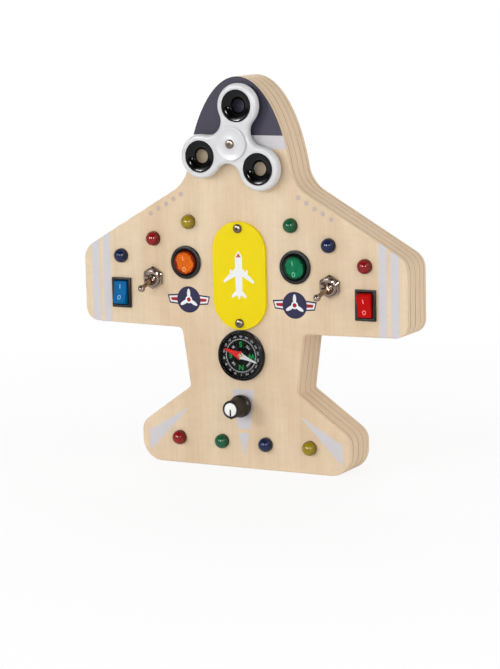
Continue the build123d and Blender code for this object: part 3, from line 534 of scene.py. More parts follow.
def joined(name, pieces):
    letGo()
    for piece in pieces:
        piece.select_set(True)
    bpy.context.view_layer.objects.active = pieces[0]
    if len(pieces) > 1:
        bpy.ops.object.join()
    pieces[0].name = pieces[0].data.name = name
    return pieces[0]


def about(axis, degrees):
    return Matrix.Rotation(radians(degrees), 4, axis)


def moved(x, y, z):
    return Matrix.Translation(Vector((x, y, z)) * mm)


def onFront(x, z, height=0.0):
    return moved(x, frontFace - height, z) @ about("X", 90)


def onBack(x, z, height=0.0):
    return moved(x, backFace + height, z) @ about("Z", 180) @ about("X", 90)


def lay(piece, matrix):
    only(piece)
    piece.matrix_world = matrix
    bpy.ops.object.transform_apply(location=True, rotation=True, scale=True)
    return piece


def dress(piece, finishName, body, nodes=(), smooth=32):
    # the last step of every piece: shading, finish, and what it rides on and stands for
    only(piece)
    bpy.ops.object.shade_smooth_by_angle(angle=radians(smooth))
    piece.data.materials.clear()
    piece.data.materials.append(finishes[finishName])
    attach(piece, body)
    if nodes:
        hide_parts(*nodes)


def asMesh(piece, name, height):
    only(piece)
    bpy.ops.object.convert(target="MESH")
    made = bpy.context.object
    made.name = made.data.name = name
    bpy.ops.object.mode_set(mode="EDIT")
    settle(0.001)
    shift(z=height)
    bpy.ops.object.mode_set(mode="OBJECT")
    return made


def flatShape(name, outlines, low, high):
    # closed outlines of (x, y) points made into one thin sheet
    letGo()
    curve = bpy.data.curves.new(name, "CURVE")
    curve.dimensions = "2D"
    curve.fill_mode = "BOTH"
    curve.extrude = (high - low) / 2 * mm
    for outline in outlines:
        spline = curve.splines.new("POLY")
        spline.points.add(len(outline) - 1)
        for point, (x, y) in zip(spline.points, outline):
            point.co = (x * mm, y * mm, 0, 1)
        spline.use_cyclic_u = True
    piece = bpy.data.objects.new(name, curve)
    bpy.context.scene.collection.objects.link(piece)
    return asMesh(piece, name, (low + high) / 2)


def letters(words, size, bold, low, high):
    letGo()
    bpy.ops.object.text_add(location=(0, 0, 0))
    piece = bpy.context.object
    text = piece.data
    text.body = words
    text.size = size * mm
    text.offset = bold * mm
    text.extrude = (high - low) / 2 * mm
    text.align_x = text.align_y = "CENTER"
    return asMesh(piece, "letters", (low + high) / 2)


def round2d(x, y, wide, tall=None, steps=48):
    tall = wide if tall is None else tall
    return [(x + wide * cos(2 * pi * k / steps), y + tall * sin(2 * pi * k / steps))
            for k in range(steps)]


def box2d(x, y, wide, tall):
    return [(x + a * wide / 2, y + b * tall / 2) for a, b in ((-1, -1), (1, -1), (1, 1), (-1, 1))]


def roundedBox2d(wide, long, corner, steps=6):
    points = []
    for a, b, start in ((1, 1, 0), (-1, 1, 90), (-1, -1, 180), (1, -1, 270)):
        middle = (a * (wide / 2 - corner), b * (long / 2 - corner))
        points += arc(middle, corner, start, start + 90, steps)
    return points


# Lamps

lamp = dict(
    radius=5.0, rise=1.4, flange=5.6, flangeLow=-5.0, seat=-4.0, neckLow=-0.4, leadHole=0.4, edge=0.2,
    # each colour at the tip, then its painted shade at the rim
    tints={"red": ((138, 6, 8), (84, 3, 5)), "blue": ((10, 26, 70), (4, 9, 38)),
           "green": ((2, 86, 50), (0, 48, 27)), "yellow": ((151, 130, 8), (104, 86, 2))},
    spots={"red": [(-67.7, 157.7), (94.2, 144.8), (-50.8, 18.2)],
           "blue": [(67.7, 157.7), (-94.2, 144.8), (17.0, 18.0)],
           "green": [(39.4, 170.2), (-17.0, 18.0)],
           "yellow": [(-39.4, 170.2), (50.8, 18.2)]})


def makeLamps():
    edge, neck = lamp["edge"], lamp["radius"] - 0.02
    first = turned("lamp_shape", [
        (lamp["leadHole"], lamp["flangeLow"]), (lamp["flange"] - edge, lamp["flangeLow"]),
        (lamp["flange"], lamp["flangeLow"] + edge), (lamp["flange"], lamp["seat"] - edge / 2),
        (lamp["flange"] - edge / 2, lamp["seat"]), (neck, lamp["seat"]), (neck, lamp["neckLow"]),
        (lamp["radius"], 0), *arc((0, lamp["rise"]), lamp["radius"], 0, 86, 16),
        (core, lamp["rise"] + lamp["radius"])], 56)
    for colour, spots in lamp["spots"].items():
        finishes[colour + "Lamp"] = makeLamp(colour + "_lamp", *[tint(*c) for c in lamp["tints"][colour]])
        domes = [lay(copyOf(first, "dome"), onFront(x, z)) for x, z in spots]
        dress(joined(f"lamp_domes_{colour}", domes), colour + "Lamp", "board",
              [f"lamps_{colour}"], 40)
    bpy.data.objects.remove(first)


makeLamps()
print("lamps made")

# The yellow plate: its screws, and a plane with swept wings and a fanned tail

screw = dict(bore=0.3, pointIn=0.3, pointUp=0.4, edge=0.1, recessReach=1.15, recessWide=0.95,
               recessDeep=1.25, recessTaper=(0.45, 0.5))
badge = dict(z=134.5, thick=2.6, screw=(3.15, 2.4, 1.5, -9.4), screwReach=32.6, screwTurns=(28, 62))
figure = dict(
    thick=0.06, podDrop=0.01, tipThick=0.03,
    # the right half from the nose down: shoulder, wing and tail
    right=[(0, 17.2), (1.5, 15.3), (2.65, 13.6), (2.65, 5.4), (11.0, -2.6), (11.9, -3.9), (11.3, -4.9),
           (2.65, -0.2), (2.45, -10.2), (5.7, -13.6), (5.3, -15.2), (1.3, -13.3), (0.5, -15.9)],
    noseTip=[(0, 15.9), (1.9, 12.9), (-1.9, 12.9)], pod=(6.2, 2.8), podHalf=(0.682, 1.65))


def panHead(name, radius, height, shaft, end):
    # a screw with a cross recess: head up, its seat at nought and the end of its shaft below
    bend = 0.75 * height
    head = turned(name, [
        (screw["bore"], end), (shaft - screw["pointIn"], end), (shaft, end + screw["pointUp"]), (shaft, 0),
        (radius - screw["edge"], 0), (radius, screw["edge"]),
        *arc((radius - bend, height - bend), bend, 0, 62, 6), (0.45 * radius, 0.97 * height),
        (core, height)], 48)
    for turn in (0, 90):
        cutter = block("recess", screw["recessReach"] * radius, screw["recessWide"], 2 * screw["recessDeep"])
        pick("FACE", facesDown)
        grow(0, *screw["recessTaper"])
        carve(head, lay(cutter, moved(0, 0, height) @ about("Z", turn)))
    return head


def makeBadgeScrews():
    heads = []
    for side, turn in zip((1, -1), badge["screwTurns"]):
        head = panHead("head", *badge["screw"])
        place = onFront(0, badge["z"] + side * badge["screwReach"], badge["thick"])
        heads.append(lay(head, place @ about("Z", turn)))
    dress(joined("badge_screw_heads", heads), "zinc", "board", ["badge_screws"], 40)


def makeFigure():
    low, high = badge["thick"], badge["thick"] + figure["thick"]
    outline = figure["right"] + [(-x, y) for x, y in reversed(figure["right"][1:])]
    plane = flatShape("plane_figure", [outline], low, high)
    x, y = figure["pod"]
    pods = [flatShape("pod", [round2d(side * x, y, *figure["podHalf"])], low, high - figure["podDrop"])
            for side in (1, -1)]
    place = onFront(0, badge["z"])
    dress(lay(joined("plane_figure", [plane, *pods]), place), "printWhite", "board")
    tip = flatShape("plane_nose_tip", [figure["noseTip"]], high, high + figure["tipThick"])
    dress(lay(tip, place), "printOrange", "board")


makeBadgeScrews()
makeFigure()
print("plate screws and figure made")

# Wing badges: a pilot's disc with a propeller and tapering bars

wings = dict(
    x=41.1, z=116.0, disc=9.2, reach=16.75, step=0.03, bladeOut=4.1, bladeHalf=(3.5, 1.25),
    ring=2.6, hub=1.5,
    # each bar's inset at the top and at the foot, and its half height at the ends and in the middle
    bars={"Navy": (0, 1.6, 2.9, 4.3), "White": (1.1, 2.2, 2.0, 3.3), "Red": (2.5, 3.1, 0.95, 1.7)})


def printOnWood(piece, place, finishName):
    dress(lay(piece, place), finishName, "board")


def makeWingBadge(word, side):
    place, step, high = onFront(side * wings["x"], wings["z"]), wings["step"], 4 * wings["step"]
    for level, (ink, (topIn, footIn, end, middle)) in enumerate(wings["bars"].items(), 1):
        top, foot = wings["reach"] - topIn, wings["reach"] - footIn
        outline = [(-top, end), (-foot, -end), (0, -middle), (foot, -end), (top, end), (0, middle)]
        bar = flatShape(f"{word}_badge_bar_{ink.lower()}", [outline], 0, level * step)
        printOnWood(bar, place, "print" + ink)
    disc = flatShape(f"{word}_badge_disc", [round2d(0, 0, wings["disc"], steps=72)], 0, high)
    printOnWood(disc, place, "printNavy")
    parts = [lay(flatShape("blade", [round2d(wings["bladeOut"], 0, *wings["bladeHalf"])], high, high + step),
                 about("Z", turn)) for turn in (90, 210, 330)]
    parts.append(flatShape("ring", [round2d(0, 0, wings["ring"])], high, high + 1.1 * step))
    printOnWood(joined(f"{word}_badge_propeller", parts), place, "printWhite")
    hub = flatShape(f"{word}_badge_hub", [round2d(0, 0, wings["hub"])], high, high + 2 * step)
    printOnWood(hub, place, "printRed")


for word, side in sides.items():
    makeWingBadge(word, side)
print("wing badges made")

# Spinner cap and its screw

spinner = dict(
    z=225.2, capLow=9.9, capHigh=11.1, capRadius=11.5, boss=5.9, bossHigh=0.4, stub=3.95, stubLow=6.3,
    bore=1.6, edge=0.3, round=0.5, rim=1.3, rimSlope=0.5, dish=0.25, screwRing=(4.2, 3.6, 3.35),
    screw=(3.1, 1.5, 1.5, -20.1), screwTurn=35)


def makeSpinnerCap():
    low, high, r, bend = spinner["capLow"], spinner["capHigh"], spinner["capRadius"], spinner["round"]
    foot, top, lip = spinner["screwRing"]
    cap = turned("spinner_front_cap", [
        (spinner["bore"], spinner["stubLow"]), (spinner["stub"], spinner["stubLow"]),
        (spinner["stub"], low - spinner["bossHigh"]), (spinner["boss"], low - spinner["bossHigh"]),
        (spinner["boss"], low), (r - spinner["edge"], low), (r, low + spinner["edge"]),
        *arc((r - bend, high - bend), bend, 0, 90, 5), (r - spinner["rim"], high),
        (r - spinner["rim"] - spinner["rimSlope"], high - spinner["dish"]), (foot, high - spinner["dish"]),
        (top, high - 0.05), (lip, high), (spinner["bore"], high), (spinner["bore"], spinner["stubLow"])], 96)
    dress(lay(cap, onFront(0, spinner["z"])), "whiteShell", "board", ["spinner_cap"])
    head = panHead("spinner_screw_head", *spinner["screw"])
    lay(head, onFront(0, spinner["z"], high) @ about("Z", spinner["screwTurn"]))
    dress(head, "zinc", "board", ["spinner_screw"], 40)


makeSpinnerCap()
print("spinner cap made")

# Compass

compass = dict(
    z=79.3, radius=17.65, spigot=16.4, height=4.3, floor=-4.0, bore=0.5, bowl=14.5, bowlFloor=-2.5,
    # the stepped rim: how far in from the radius it lies at each height
    rim=[(0.15, 0), (0, 0.15), (0, 1.2), (0.12, 1.35), (0.45, 1.45), (0.45, 2.5), (0.57, 2.65),
         (0.75, 2.75), (0.75, 4.05), (0.85, 4.2), (1.0, 4.3)],
    lensRadius=16.4, lensSeat=3.4, lensCrown=0.7, lensPlay=0.02, lensRings=(14, 11, 8, 5, 2.5),
    dialSeat=1.2, dialRadius=15.5, dialTop=2.0, ink=0.04, ring=11.4, ringWide=0.24,
    ticks=72, tick=0.9, tickWide=0.16, heading=160.5,
    # the words on the dial: their size, how much bolder they are, and how far out they lie
    numbers=(1.75, 0.0, 13.3), between=(2.3, 0.015, 8.0), points=(5.2, 0.09, 8.0),
    needleLong=13.5, needleWide=3.4, tailShare=0.7, needleLow=2.5, needleThick=0.3, needleRidge=0.12,
    # the blade's taper: shares of its length and of its half width
    taper=[(0, 1), (0.18, 0.7), (0.45, 0.46), (0.9, 0.22)],
    hub=1.6, hubBore=0.8, hubFoot=1.2, hubLow=2.3, hubTop=3.15, hubFlat=1.0)


def makeCompassCase():
    high, lens = compass["height"], compass["lensRadius"]
    case = turned("compass_housing", [
        (compass["bore"], compass["floor"]), (compass["spigot"], compass["floor"]), (compass["spigot"], 0),
        *[(compass["radius"] - inset, height) for inset, height in compass["rim"]],
        (lens + 0.05, high), (lens, high - 0.1), (lens, compass["lensSeat"]),
        (compass["dialRadius"], compass["lensSeat"]), (compass["dialRadius"], compass["dialSeat"]),
        (compass["bowl"], compass["dialSeat"]), (compass["bowl"], compass["bowlFloor"]),
        (compass["bore"], compass["bowlFloor"])], 96)
    dress(lay(case, onFront(0, compass["z"])), "blackCase", "board", ["compass_case"])


def makeCompassLens():
    crown = (compass["lensRadius"] ** 2 + compass["lensCrown"] ** 2) / (2 * compass["lensCrown"])
    middle = compass["height"] + compass["lensCrown"] - crown
    reach, low = compass["lensRadius"] - compass["lensPlay"], compass["lensSeat"] + compass["lensPlay"]
    dome = [(r, middle + sqrt(crown ** 2 - r ** 2)) for r in (reach - 0.1, *compass["lensRings"], core)]
    lens = turned("compass_glass", [(core, low), (reach, low), (reach, compass["height"] - 0.15), *dome], 96)
    dress(lay(lens, onFront(0, compass["z"])), "lens", "board", ["compass_lens"], 40)


def dialWord(words, size, bold, reach, heading, turn):
    # words at a heading, clockwise from north
    made = letters(words, size, bold, compass["dialTop"], compass["dialTop"] + compass["ink"])
    x, y = reach * sin(radians(heading)), reach * cos(radians(heading))
    return lay(made, moved(x, y, 0) @ about("Z", turn))


def makeDialPrint():
    low, high, ring = compass["dialTop"], compass["dialTop"] + compass["ink"], compass["ring"]
    marks = [flatShape("ring", [round2d(0, 0, r, steps=96) for r in (ring, ring - compass["ringWide"])],
                       low, high)]
    for step in range(compass["ticks"]):
        long = compass["tick"] if step % 2 == 0 else 0.5 * compass["tick"]
        tick = flatShape("tick", [box2d(0, ring + long / 2, compass["tickWide"], long)], low, high)
        marks.append(lay(tick, about("Z", step * 360 / compass["ticks"])))
    marks += [dialWord(str(heading), *compass["numbers"], heading, -heading)
              for heading in range(0, 360, 20)]
    marks += [dialWord(words, *compass["between"], heading, -heading)
              for heading, words in ((45, "NE"), (135, "SE"), (225, "SW"), (315, "NW"))]
    points = [dialWord(words, *compass["points"], heading, 0)
              for heading, words in ((0, "N"), (90, "E"), (180, "S"), (270, "W"))]
    for name, words, finishName in (("compass_dial_marks", marks, "printGrey"),
                                    ("compass_dial_letters", points, "printGreen")):
        # the compass sits in the board with its south up
        printed = lay(joined(name, words), onFront(0, compass["z"]) @ about("Z", 180))
        dress(printed, finishName, "board")


def makeNeedle():
    low, ridge, long = compass["needleLow"], compass["needleRidge"], compass["needleLong"]
    high, place = low + compass["needleThick"], onFront(0, compass["z"])
    for word, aim, share, nodes in (("Red", 1, 1, ["compass_needle"]),
                                    ("White", -1, compass["tailShare"], ())):
        wide = share * compass["needleWide"]
        side = [(along * long, across * wide) for along, across in compass["taper"]]
        outline = [*side, (long, 0), *[(x, -y) for x, y in reversed(side)]]
        blade = flatShape(f"compass_{word.lower()}_blade", [[(aim * x, y) for x, y in outline]],
                          low, high - ridge)
        only(blade)
        bpy.ops.object.mode_set(mode="EDIT")
        pick("FACE", facesUp)
        bpy.ops.mesh.inset(thickness=ridge * mm, depth=ridge * mm)
        lay(blade, place @ about("Z", compass["heading"]))
        dress(blade, "needle" + word, "needle", nodes)
    r, top, bore, foot = compass["hub"], compass["hubTop"], compass["hubBore"], compass["hubFoot"]
    hub = turned("compass_needle_hub", [
        (bore, compass["hubLow"]), (foot, compass["hubLow"]), (foot, high), (r - 0.1, high),
        (r, high + 0.08), (r - 0.1, top - 0.06), (r - 0.35, top), (compass["hubFlat"], top),
        (bore, top - 0.12), (core, top - 0.15)], 40)
    dress(lay(hub, place), "brass", "needle", ["compass_hub"], 40)


makeCompassCase()
makeDialPrint()
makeNeedle()
makeCompassLens()
print("compass made")

# Dimmer knob

knob = dict(
    z=44.5, low=2.8, top=19.0, base=7.8, edge=0.3, skirtTop=6.6, shoulder=0.7, barrelLow=8.2,
    barrel=6.5, tip=6.3, bore=3.0, recess=6.6, recessTop=3.6, ribs=42, ribDepth=0.3, ribLow=8.9,
    ribHigh=17.7, ribFade=0.3, ridgeWide=1.2, ridgeDeep=1.5, ridgeOut=0.4, cap=4.6, capSeat=18.0,
    capTop=19.3, capPlay=0.03, capEdge=0.25, capRound=0.08, capFlat=2.0, pointerWide=1.3, pointerLong=4.5,
    grooveDeep=0.25, pointerThick=0.24, pointerPlay=0.04,
    # where the skirt meets the barrel: how far out from it at each height
    waist=[(0.35, 7.3), (0.1, 7.7)],
    # the rounded top edge: how far in from the tip's radius, and down from the top
    crown=[(0.02, 0.55), (0.15, 0.18), (0.45, 0)])


def inRibGap(vert):
    # every other column of the barrel's outer points, between the ends of the ribs
    flat, fade = vert.co.to_2d(), knob["ribFade"] / 2
    column = round(flat.angle_signed(Vector((1, 0)), 0) / (pi / knob["ribs"]))
    inBand = knob["ribLow"] + fade < vert.co.z / mm < knob["ribHigh"] - fade
    return inBand and column % 2 == 1 and flat.length / mm > knob["cap"] + 0.5


def makeKnobBody():
    low, top, tip, edge, turnOver = knob["low"], knob["top"], knob["tip"], knob["edge"], knob["shoulder"]
    body = turned("knob_skirt", [
        (knob["bore"], knob["recessTop"]), (knob["recess"], knob["recessTop"]), (knob["recess"], low),
        (knob["base"] - edge, low), (knob["base"], low + edge),
        *arc((knob["base"] - turnOver, knob["skirtTop"] - turnOver), turnOver, 0, 75, 4),
        *[(knob["barrel"] + out, height) for out, height in knob["waist"]],
        (knob["barrel"], knob["barrelLow"]), (knob["barrel"], knob["ribLow"]),
        (knob["barrel"], knob["ribLow"] + knob["ribFade"]), (tip, knob["ribHigh"] - knob["ribFade"]),
        (tip, knob["ribHigh"]), *[(tip - inset, top - drop) for inset, drop in knob["crown"]],
        (knob["cap"] + 0.05, top), (knob["cap"], top - 0.1), (knob["cap"], knob["capSeat"]),
        (knob["bore"], knob["capSeat"]), (knob["bore"], knob["recessTop"])], 2 * knob["ribs"])
    pick("VERT", inRibGap)
    grow(0, 1 - knob["ribDepth"] / tip)
    ridge = block("ridge", knob["ridgeWide"], knob["ridgeDeep"], top - knob["barrelLow"] - 0.3)
    shift(y=knob["ridgeOut"] - tip, z=(top + knob["barrelLow"]) / 2)
    body = joined("knob_skirt", [body, soften(ridge, 0.3, 3)])
    dress(lay(body, onFront(0, knob["z"])), "knobBlack", "knob", ["knob_body"], 28)


def makeKnobCap():
    r, top, edge, long = knob["cap"] - knob["capPlay"], knob["capTop"], knob["capEdge"], knob["pointerLong"]
    cap = turned("knob_top_disc", [
        (core, knob["capSeat"]), (r, knob["capSeat"]), (r, top - edge),
        (r - knob["capRound"], top - knob["capRound"]), (r - edge, top), (knob["capFlat"], top),
        (core, top)], 64)
    groove = block("groove", knob["pointerWide"], long + 1, 2 * knob["grooveDeep"])
    carve(cap, lay(groove, moved(0, 0.3 - (long + 1) / 2, top)))
    place = onFront(0, knob["z"])
    dress(lay(cap, place), "capWhite", "knob", ["knob_cap"], 30)
    pointer = block("knob_pointer", knob["pointerWide"] - knob["pointerPlay"], long, knob["pointerThick"])
    shift(y=0.1 - long / 2, z=top - 0.01 - knob["pointerThick"] / 2)
    dress(lay(soften(pointer, 0.06, 1), place), "knobBlack", "knob")


makeKnobBody()
makeKnobCap()
print("knob made")

# Toggle switches

toggle = dict(
    x=68.4, z=130.2, pivot=0.9, tilt=18, leans={"left": 0, "right": 5}, bush=5.95, bushTop=5.0,
    bushLow=-5.0, ballPlay=0.15, threadPitch=0.5, threadDeep=0.25, threadFlat=0.08, threadEnd=0.6,
    washer=6.9, washerThick=0.8, washerEdge=0.15, washerPlay=0.03, flats=14.0, nutThick=2.2,
    # the top of the bush: how far in from its radius, and down from its top
    crown=[(0.4, 0.4), (0.65, 0.1), (1.0, 0)], mouthEdge=(0.25, 0.1),
    lever=17.8, ball=4.1, ballArc=(-64, 60), tip=2.55, tipArc=(-52, 86), tail=-8.0, tailRadius=1.5,
    tailEdge=0.2, root=1.9, rootGap=0.45, rootLong=1.5, rootTaper=0.05, neck=1.5, neckDrop=3.2,
    waist=0.1, waistDrop=2.6)


def bushShape():
    # a threaded tube with a round socket for the lever's ball
    r, top, pitch = toggle["bush"], toggle["bushTop"], toggle["threadPitch"]
    height = toggle["washerThick"] + toggle["nutThick"]
    bore = toggle["ball"] + toggle["ballPlay"]
    rings = [(bore, toggle["bushLow"]), (r, toggle["bushLow"]), (r, height)]
    while height + pitch < top - toggle["threadEnd"]:
        rings += [(r, height + toggle["threadFlat"]), (r - toggle["threadDeep"], height + pitch / 2),
                  (r, height + pitch - toggle["threadFlat"])]
        height += pitch
    socket = arc((0, toggle["pivot"]), bore, 45, 0, 6)
    (mouth, mouthHigh), (out, up) = socket[0], toggle["mouthEdge"]
    rings += [(r - 0.35, height + 0.05), *[(r - inset, top - drop) for inset, drop in toggle["crown"]],
              (mouth + out, mouthHigh + up), *socket, rings[0]]
    return turned("bush_shape", rings, 64)


def washerShape():
    inner, outer, high = toggle["bush"] + toggle["washerPlay"], toggle["washer"], toggle["washerThick"]
    return turned("washer_shape", [
        (inner, 0), (outer - toggle["washerEdge"], 0), (outer, toggle["washerEdge"]), (outer, high - 0.2),
        (outer - 0.2, high), (inner, high), (inner, 0)], 64)


def nutShape():
    # six flats, with the corners turned down and a countersunk hole
    r, half, low = toggle["bush"], toggle["flats"] / 2, toggle["washerThick"]
    high, corner = low + toggle["nutThick"], half / cos(radians(30))
    nut = turned("nut_shape", [(r, low), (corner, low), (corner, high), (r, high), (r, low)], 6)
    cone = turned("cone", [(core, low - 0.5), (corner + 0.3, low - 0.5), (corner + 0.3, high - 1.0),
                           (half - 0.3, high + 0.02), (core, high + 0.02)])
    carve(nut, cone, "INTERSECT")
    hole = turned("hole", [(core, low - 1), (r, low - 1), (r, high - 0.35), (r + 0.45, high + 0.2),
                           (core, high + 0.2)], 64)
    carve(nut, hole)
    return soften(nut, 0.12)


def makeToggleFixings():
    for shape, name, node in ((bushShape(), "toggle_threaded_bushes", "toggle_bushes"),
                              (washerShape(), "toggle_face_washers", "toggle_washers"),
                              (nutShape(), "toggle_hex_nuts", "toggle_nuts")):
        pair = [lay(copyOf(shape, "half"), onFront(side * toggle["x"], toggle["z"]))
                for side in sides.values()]
        dress(joined(name, pair), "chrome", "board", [node], 30)
        bpy.data.objects.remove(shape)


def makeLevers():
    ball = arc((0, 0), toggle["ball"], *toggle["ballArc"], 14)
    rootLow, long = ball[-1][1] + toggle["rootGap"], toggle["lever"]
    first = turned("lever_shape", [
        (core, toggle["tail"]), (toggle["tailRadius"], toggle["tail"] + toggle["tailEdge"]), *ball,
        (toggle["root"], rootLow), (toggle["root"] - toggle["rootTaper"], rootLow + toggle["rootLong"]),
        (toggle["neck"], long - toggle["neckDrop"]),
        (toggle["neck"] - toggle["waist"], long - toggle["waistDrop"]),
        *arc((0, long), toggle["tip"], *toggle["tipArc"], 14), (core, long + toggle["tip"])], 48)
    for word, side in sides.items():
        place = onFront(side * toggle["x"], toggle["z"], toggle["pivot"])
        lever = lay(copyOf(first, f"{word}_toggle_handle"),
                    place @ about("X", toggle["tilt"]) @ about("Y", -toggle["leans"][word]))
        dress(lever, "chrome", f"toggle_{word}", [f"toggle_{word}_lever"], 50)
    bpy.data.objects.remove(first)


makeToggleFixings()
makeLevers()
print("toggles made")

# Rocker switches

rocker = dict(
    roundX=42.3, roundZ=142.0, rectX=94.5, rectZ=118.7, high=2.0, wellFloor=-9.0, depth=-12.0,
    bore=0.5, bezel=11.5, barrel=10.0, window=8.55, lip=0.7, edge=0.1,
    rectWide=15.0, rectLong=21.0, rectBarrel=(13.0, 19.0), rectWindow=(10.2, 17.1),
    rectSlope=(1.2, 1.0, 0.7), radius=8.2, buttonWide=9.5, pivot=1.0, tilt=12.5, valley=2.9, slope=7.0,
    skirt=-3.5, markSize=3.2, markLine=0.65, markStroke=0.5, markOval=(0.42, 0.5), markReach=3.9,
    markHigh=0.05)
# colour, side of the board, whether it is round, and which way it is tipped
rockers = [("orange", -1, True, 1), ("green", 1, True, 1), ("blue", -1, False, -1), ("red", 1, False, 1)]
# each round button's own colour, then the painted shade towards its rim
clearTintsWithPaintedShade = {"orange": ((236, 108, 6), (120, 32, 4)), "green": ((0, 125, 79), (0, 44, 28))}


def roundBezel():
    high, window, lip, edge = rocker["high"], rocker["window"], rocker["lip"], rocker["edge"]
    return turned("round_bezel", [
        (rocker["bore"], rocker["depth"]), (rocker["barrel"], rocker["depth"]), (rocker["barrel"], 0),
        (rocker["bezel"] - edge, 0), (rocker["bezel"], edge),
        *arc((rocker["bezel"] - lip, high - lip), lip, 0, 90, 5), (window + 1.1, high),
        (window + 0.25, high - 0.55), (window, high - 0.9), (window, rocker["wellFloor"]),
        (rocker["bore"], rocker["wellFloor"])], 80)


def rectBezel():
    wide, long, high = rocker["rectWide"], rocker["rectLong"], rocker["high"]
    windowWide, windowLong = rocker["rectWindow"]
    barrelWide, barrelLong = rocker["rectBarrel"]
    slopeWide, slopeLong, slopeDeep = rocker["rectSlope"]
    piece = block("rect_bezel", wide, long, high)
    shift(z=high / 2)
    pick("FACE", facesUp)
    bpy.ops.mesh.extrude_region_move()
    grow(high, (windowWide + slopeWide) / wide, (windowLong + slopeLong) / long)
    bpy.ops.mesh.extrude_region_move()
    shift(z=-slopeDeep)
    grow(high, windowWide / (windowWide + slopeWide), windowLong / (windowLong + slopeLong))
    pull(rocker["wellFloor"] - high + slopeDeep)
    pick("FACE", lambda face: facesDown(face) and face.calc_center_median().z > -mm)
    bpy.ops.mesh.extrude_region_move()
    grow(0, barrelWide / wide, barrelLong / long)
    pull(rocker["depth"])
    settle()
    return soften(piece, 0.35, 3)


def buttonShape(isRound):
    # a round blank cut by a wedge whose two sloping faces meet in a valley
    r, ops = rocker["radius"] * mm, bpy.ops.mesh
    if isRound:
        piece = begin("button", ops.primitive_uv_sphere_add, segments=72, ring_count=48, radius=r)
    else:
        piece = begin("button", ops.primitive_cylinder_add, vertices=96, radius=r,
                      depth=rocker["buttonWide"] * mm)
        bpy.ops.transform.rotate(value=radians(90), orient_axis="Y", center_override=(0, 0, 0))
    reach = rocker["radius"] + 1
    edge = rocker["valley"] + reach * tan(radians(rocker["slope"]))
    outline = [(-reach, rocker["skirt"]), (reach, rocker["skirt"]), (reach, edge), (0, rocker["valley"]),
               (-reach, edge)]
    wedge = lay(flatShape("wedge", [outline], -reach, reach), about("Z", 90) @ about("X", 90))
    carve(piece, wedge, "INTERSECT")
    return soften(piece, 0.45, 3, 24)


def rockerMark(way, tilted):
    # a line on the upper half of a button and a ring on the lower one
    size, stroke = rocker["markSize"], rocker["markStroke"]
    wide, tall = [share * size for share in rocker["markOval"]]
    outlines = [box2d(0, 0, rocker["markLine"], size)] if way > 0 else [
        round2d(0, 0, wide, tall), round2d(0, 0, wide - stroke, tall - stroke)]
    height = rocker["valley"] + rocker["markReach"] * tan(radians(rocker["slope"]))
    spot = moved(0, way * rocker["markReach"], height) @ about("X", way * rocker["slope"])
    return lay(flatShape("mark", outlines, 0, rocker["markHigh"]), tilted @ spot)


def makeRockers():
    shapes = {True: (roundBezel(), buttonShape(True)), False: (rectBezel(), buttonShape(False))}
    for colour, side, isRound, lean in rockers:
        x, z = side * rocker["rectX"], rocker["rectZ"]
        if isRound:
            x, z = side * rocker["roundX"], rocker["roundZ"]
            tints = [tint(*c) for c in clearTintsWithPaintedShade[colour]]
            finishes[colour] = makeClearButton(colour + "_button", *tints, (x, z))
        body, slot = f"{colour}_rocker", f"{colour}_plastic"
        tilted = onFront(x, z, rocker["pivot"]) @ about("X", lean * rocker["tilt"])
        bezelShape, paddleShape = shapes[isRound]
        bezel = lay(copyOf(bezelShape, f"{colour}_rocker_bezel"), onFront(x, z))
        dress(bezel, "blackSatin", "board", [f"{colour}_rocker_case"], 30)
        paddle = lay(copyOf(paddleShape, f"{colour}_rocker_paddle"), tilted)
        dress(paddle, colour, body, [f"{colour}_rocker_button"], 25)
        marks = joined(f"{colour}_rocker_marks", [rockerMark(way, tilted) for way in (1, -1)])
        dress(marks, colour + "Mark", body)
    for pair in shapes.values():
        for shape in pair:
            bpy.data.objects.remove(shape)


makeRockers()
print("rockers made")

# Battery lid with finger ridges, and its screw

lid = dict(
    z=163.0, wide=38.0, long=66.0, corner=3.0, thick=2.0, top=-0.55, edge=0.25,
    screw=(2.3, 1.0, 1.2, -8.5), screwV=-26.0, screwTurn=20,
    seat=-1.5, seatPlay=0.1, seatLedge=0.9, tongue=(8.0, 1.0, 1.5), tongueV=30.65,
    ridges=6, ridgePitch=2.7, ridgeTop=24.0, ridgeLong=18.0, ridgeShorter=1.8, ridgeWide=1.3,
    ridgeHigh=1.0)


def lidPlate():
    outline = roundedBox2d(lid["wide"], lid["long"], lid["corner"])
    plate = flatShape("battery_cover", [outline], -lid["thick"], lid["top"])
    wide, narrow = lid["screw"][0] + lid["seatPlay"], lid["screw"][0] - lid["seatLedge"]
    hole = turned("hole", [(core, -3), (narrow, -3), (narrow, lid["seat"]), (wide, lid["seat"]), (wide, 1),
                           (core, 1)], 48)
    carve(plate, lay(hole, moved(0, lid["screwV"], 0)))
    return soften(plate, lid["edge"])


def lidRidge(step):
    ridge = block("ridge", lid["ridgeLong"] - step * lid["ridgeShorter"], lid["ridgeWide"], lid["ridgeHigh"])
    shift(y=lid["ridgeTop"] - step * lid["ridgePitch"], z=-lid["ridgeHigh"] / 2)
    pick("FACE", facesUp)
    grow(0, 0.96, 1)
    return soften(ridge, 0.3, 3)


def makeLid():
    plate = lidPlate()
    ridges = [lidRidge(step) for step in range(lid["ridges"])]
    tongue = block("tongue", *lid["tongue"])
    shift(y=lid["tongueV"], z=0.05 - lid["thick"] - lid["tongue"][2] / 2)
    cover = joined("battery_cover", [plate, soften(tongue, 0.15), *ridges])
    dress(lay(cover, onBack(0, lid["z"])), "blackSatin", "battery_cover", ["battery_lid"], 30)
    head = panHead("battery_cover_screw", *lid["screw"])
    lay(head, onBack(0, lid["z"] + lid["screwV"], lid["seat"]) @ about("Z", lid["screwTurn"]))
    dress(head, "zinc", "battery_cover", ["lid_screw"], 40)


makeLid()
print("battery cover made")

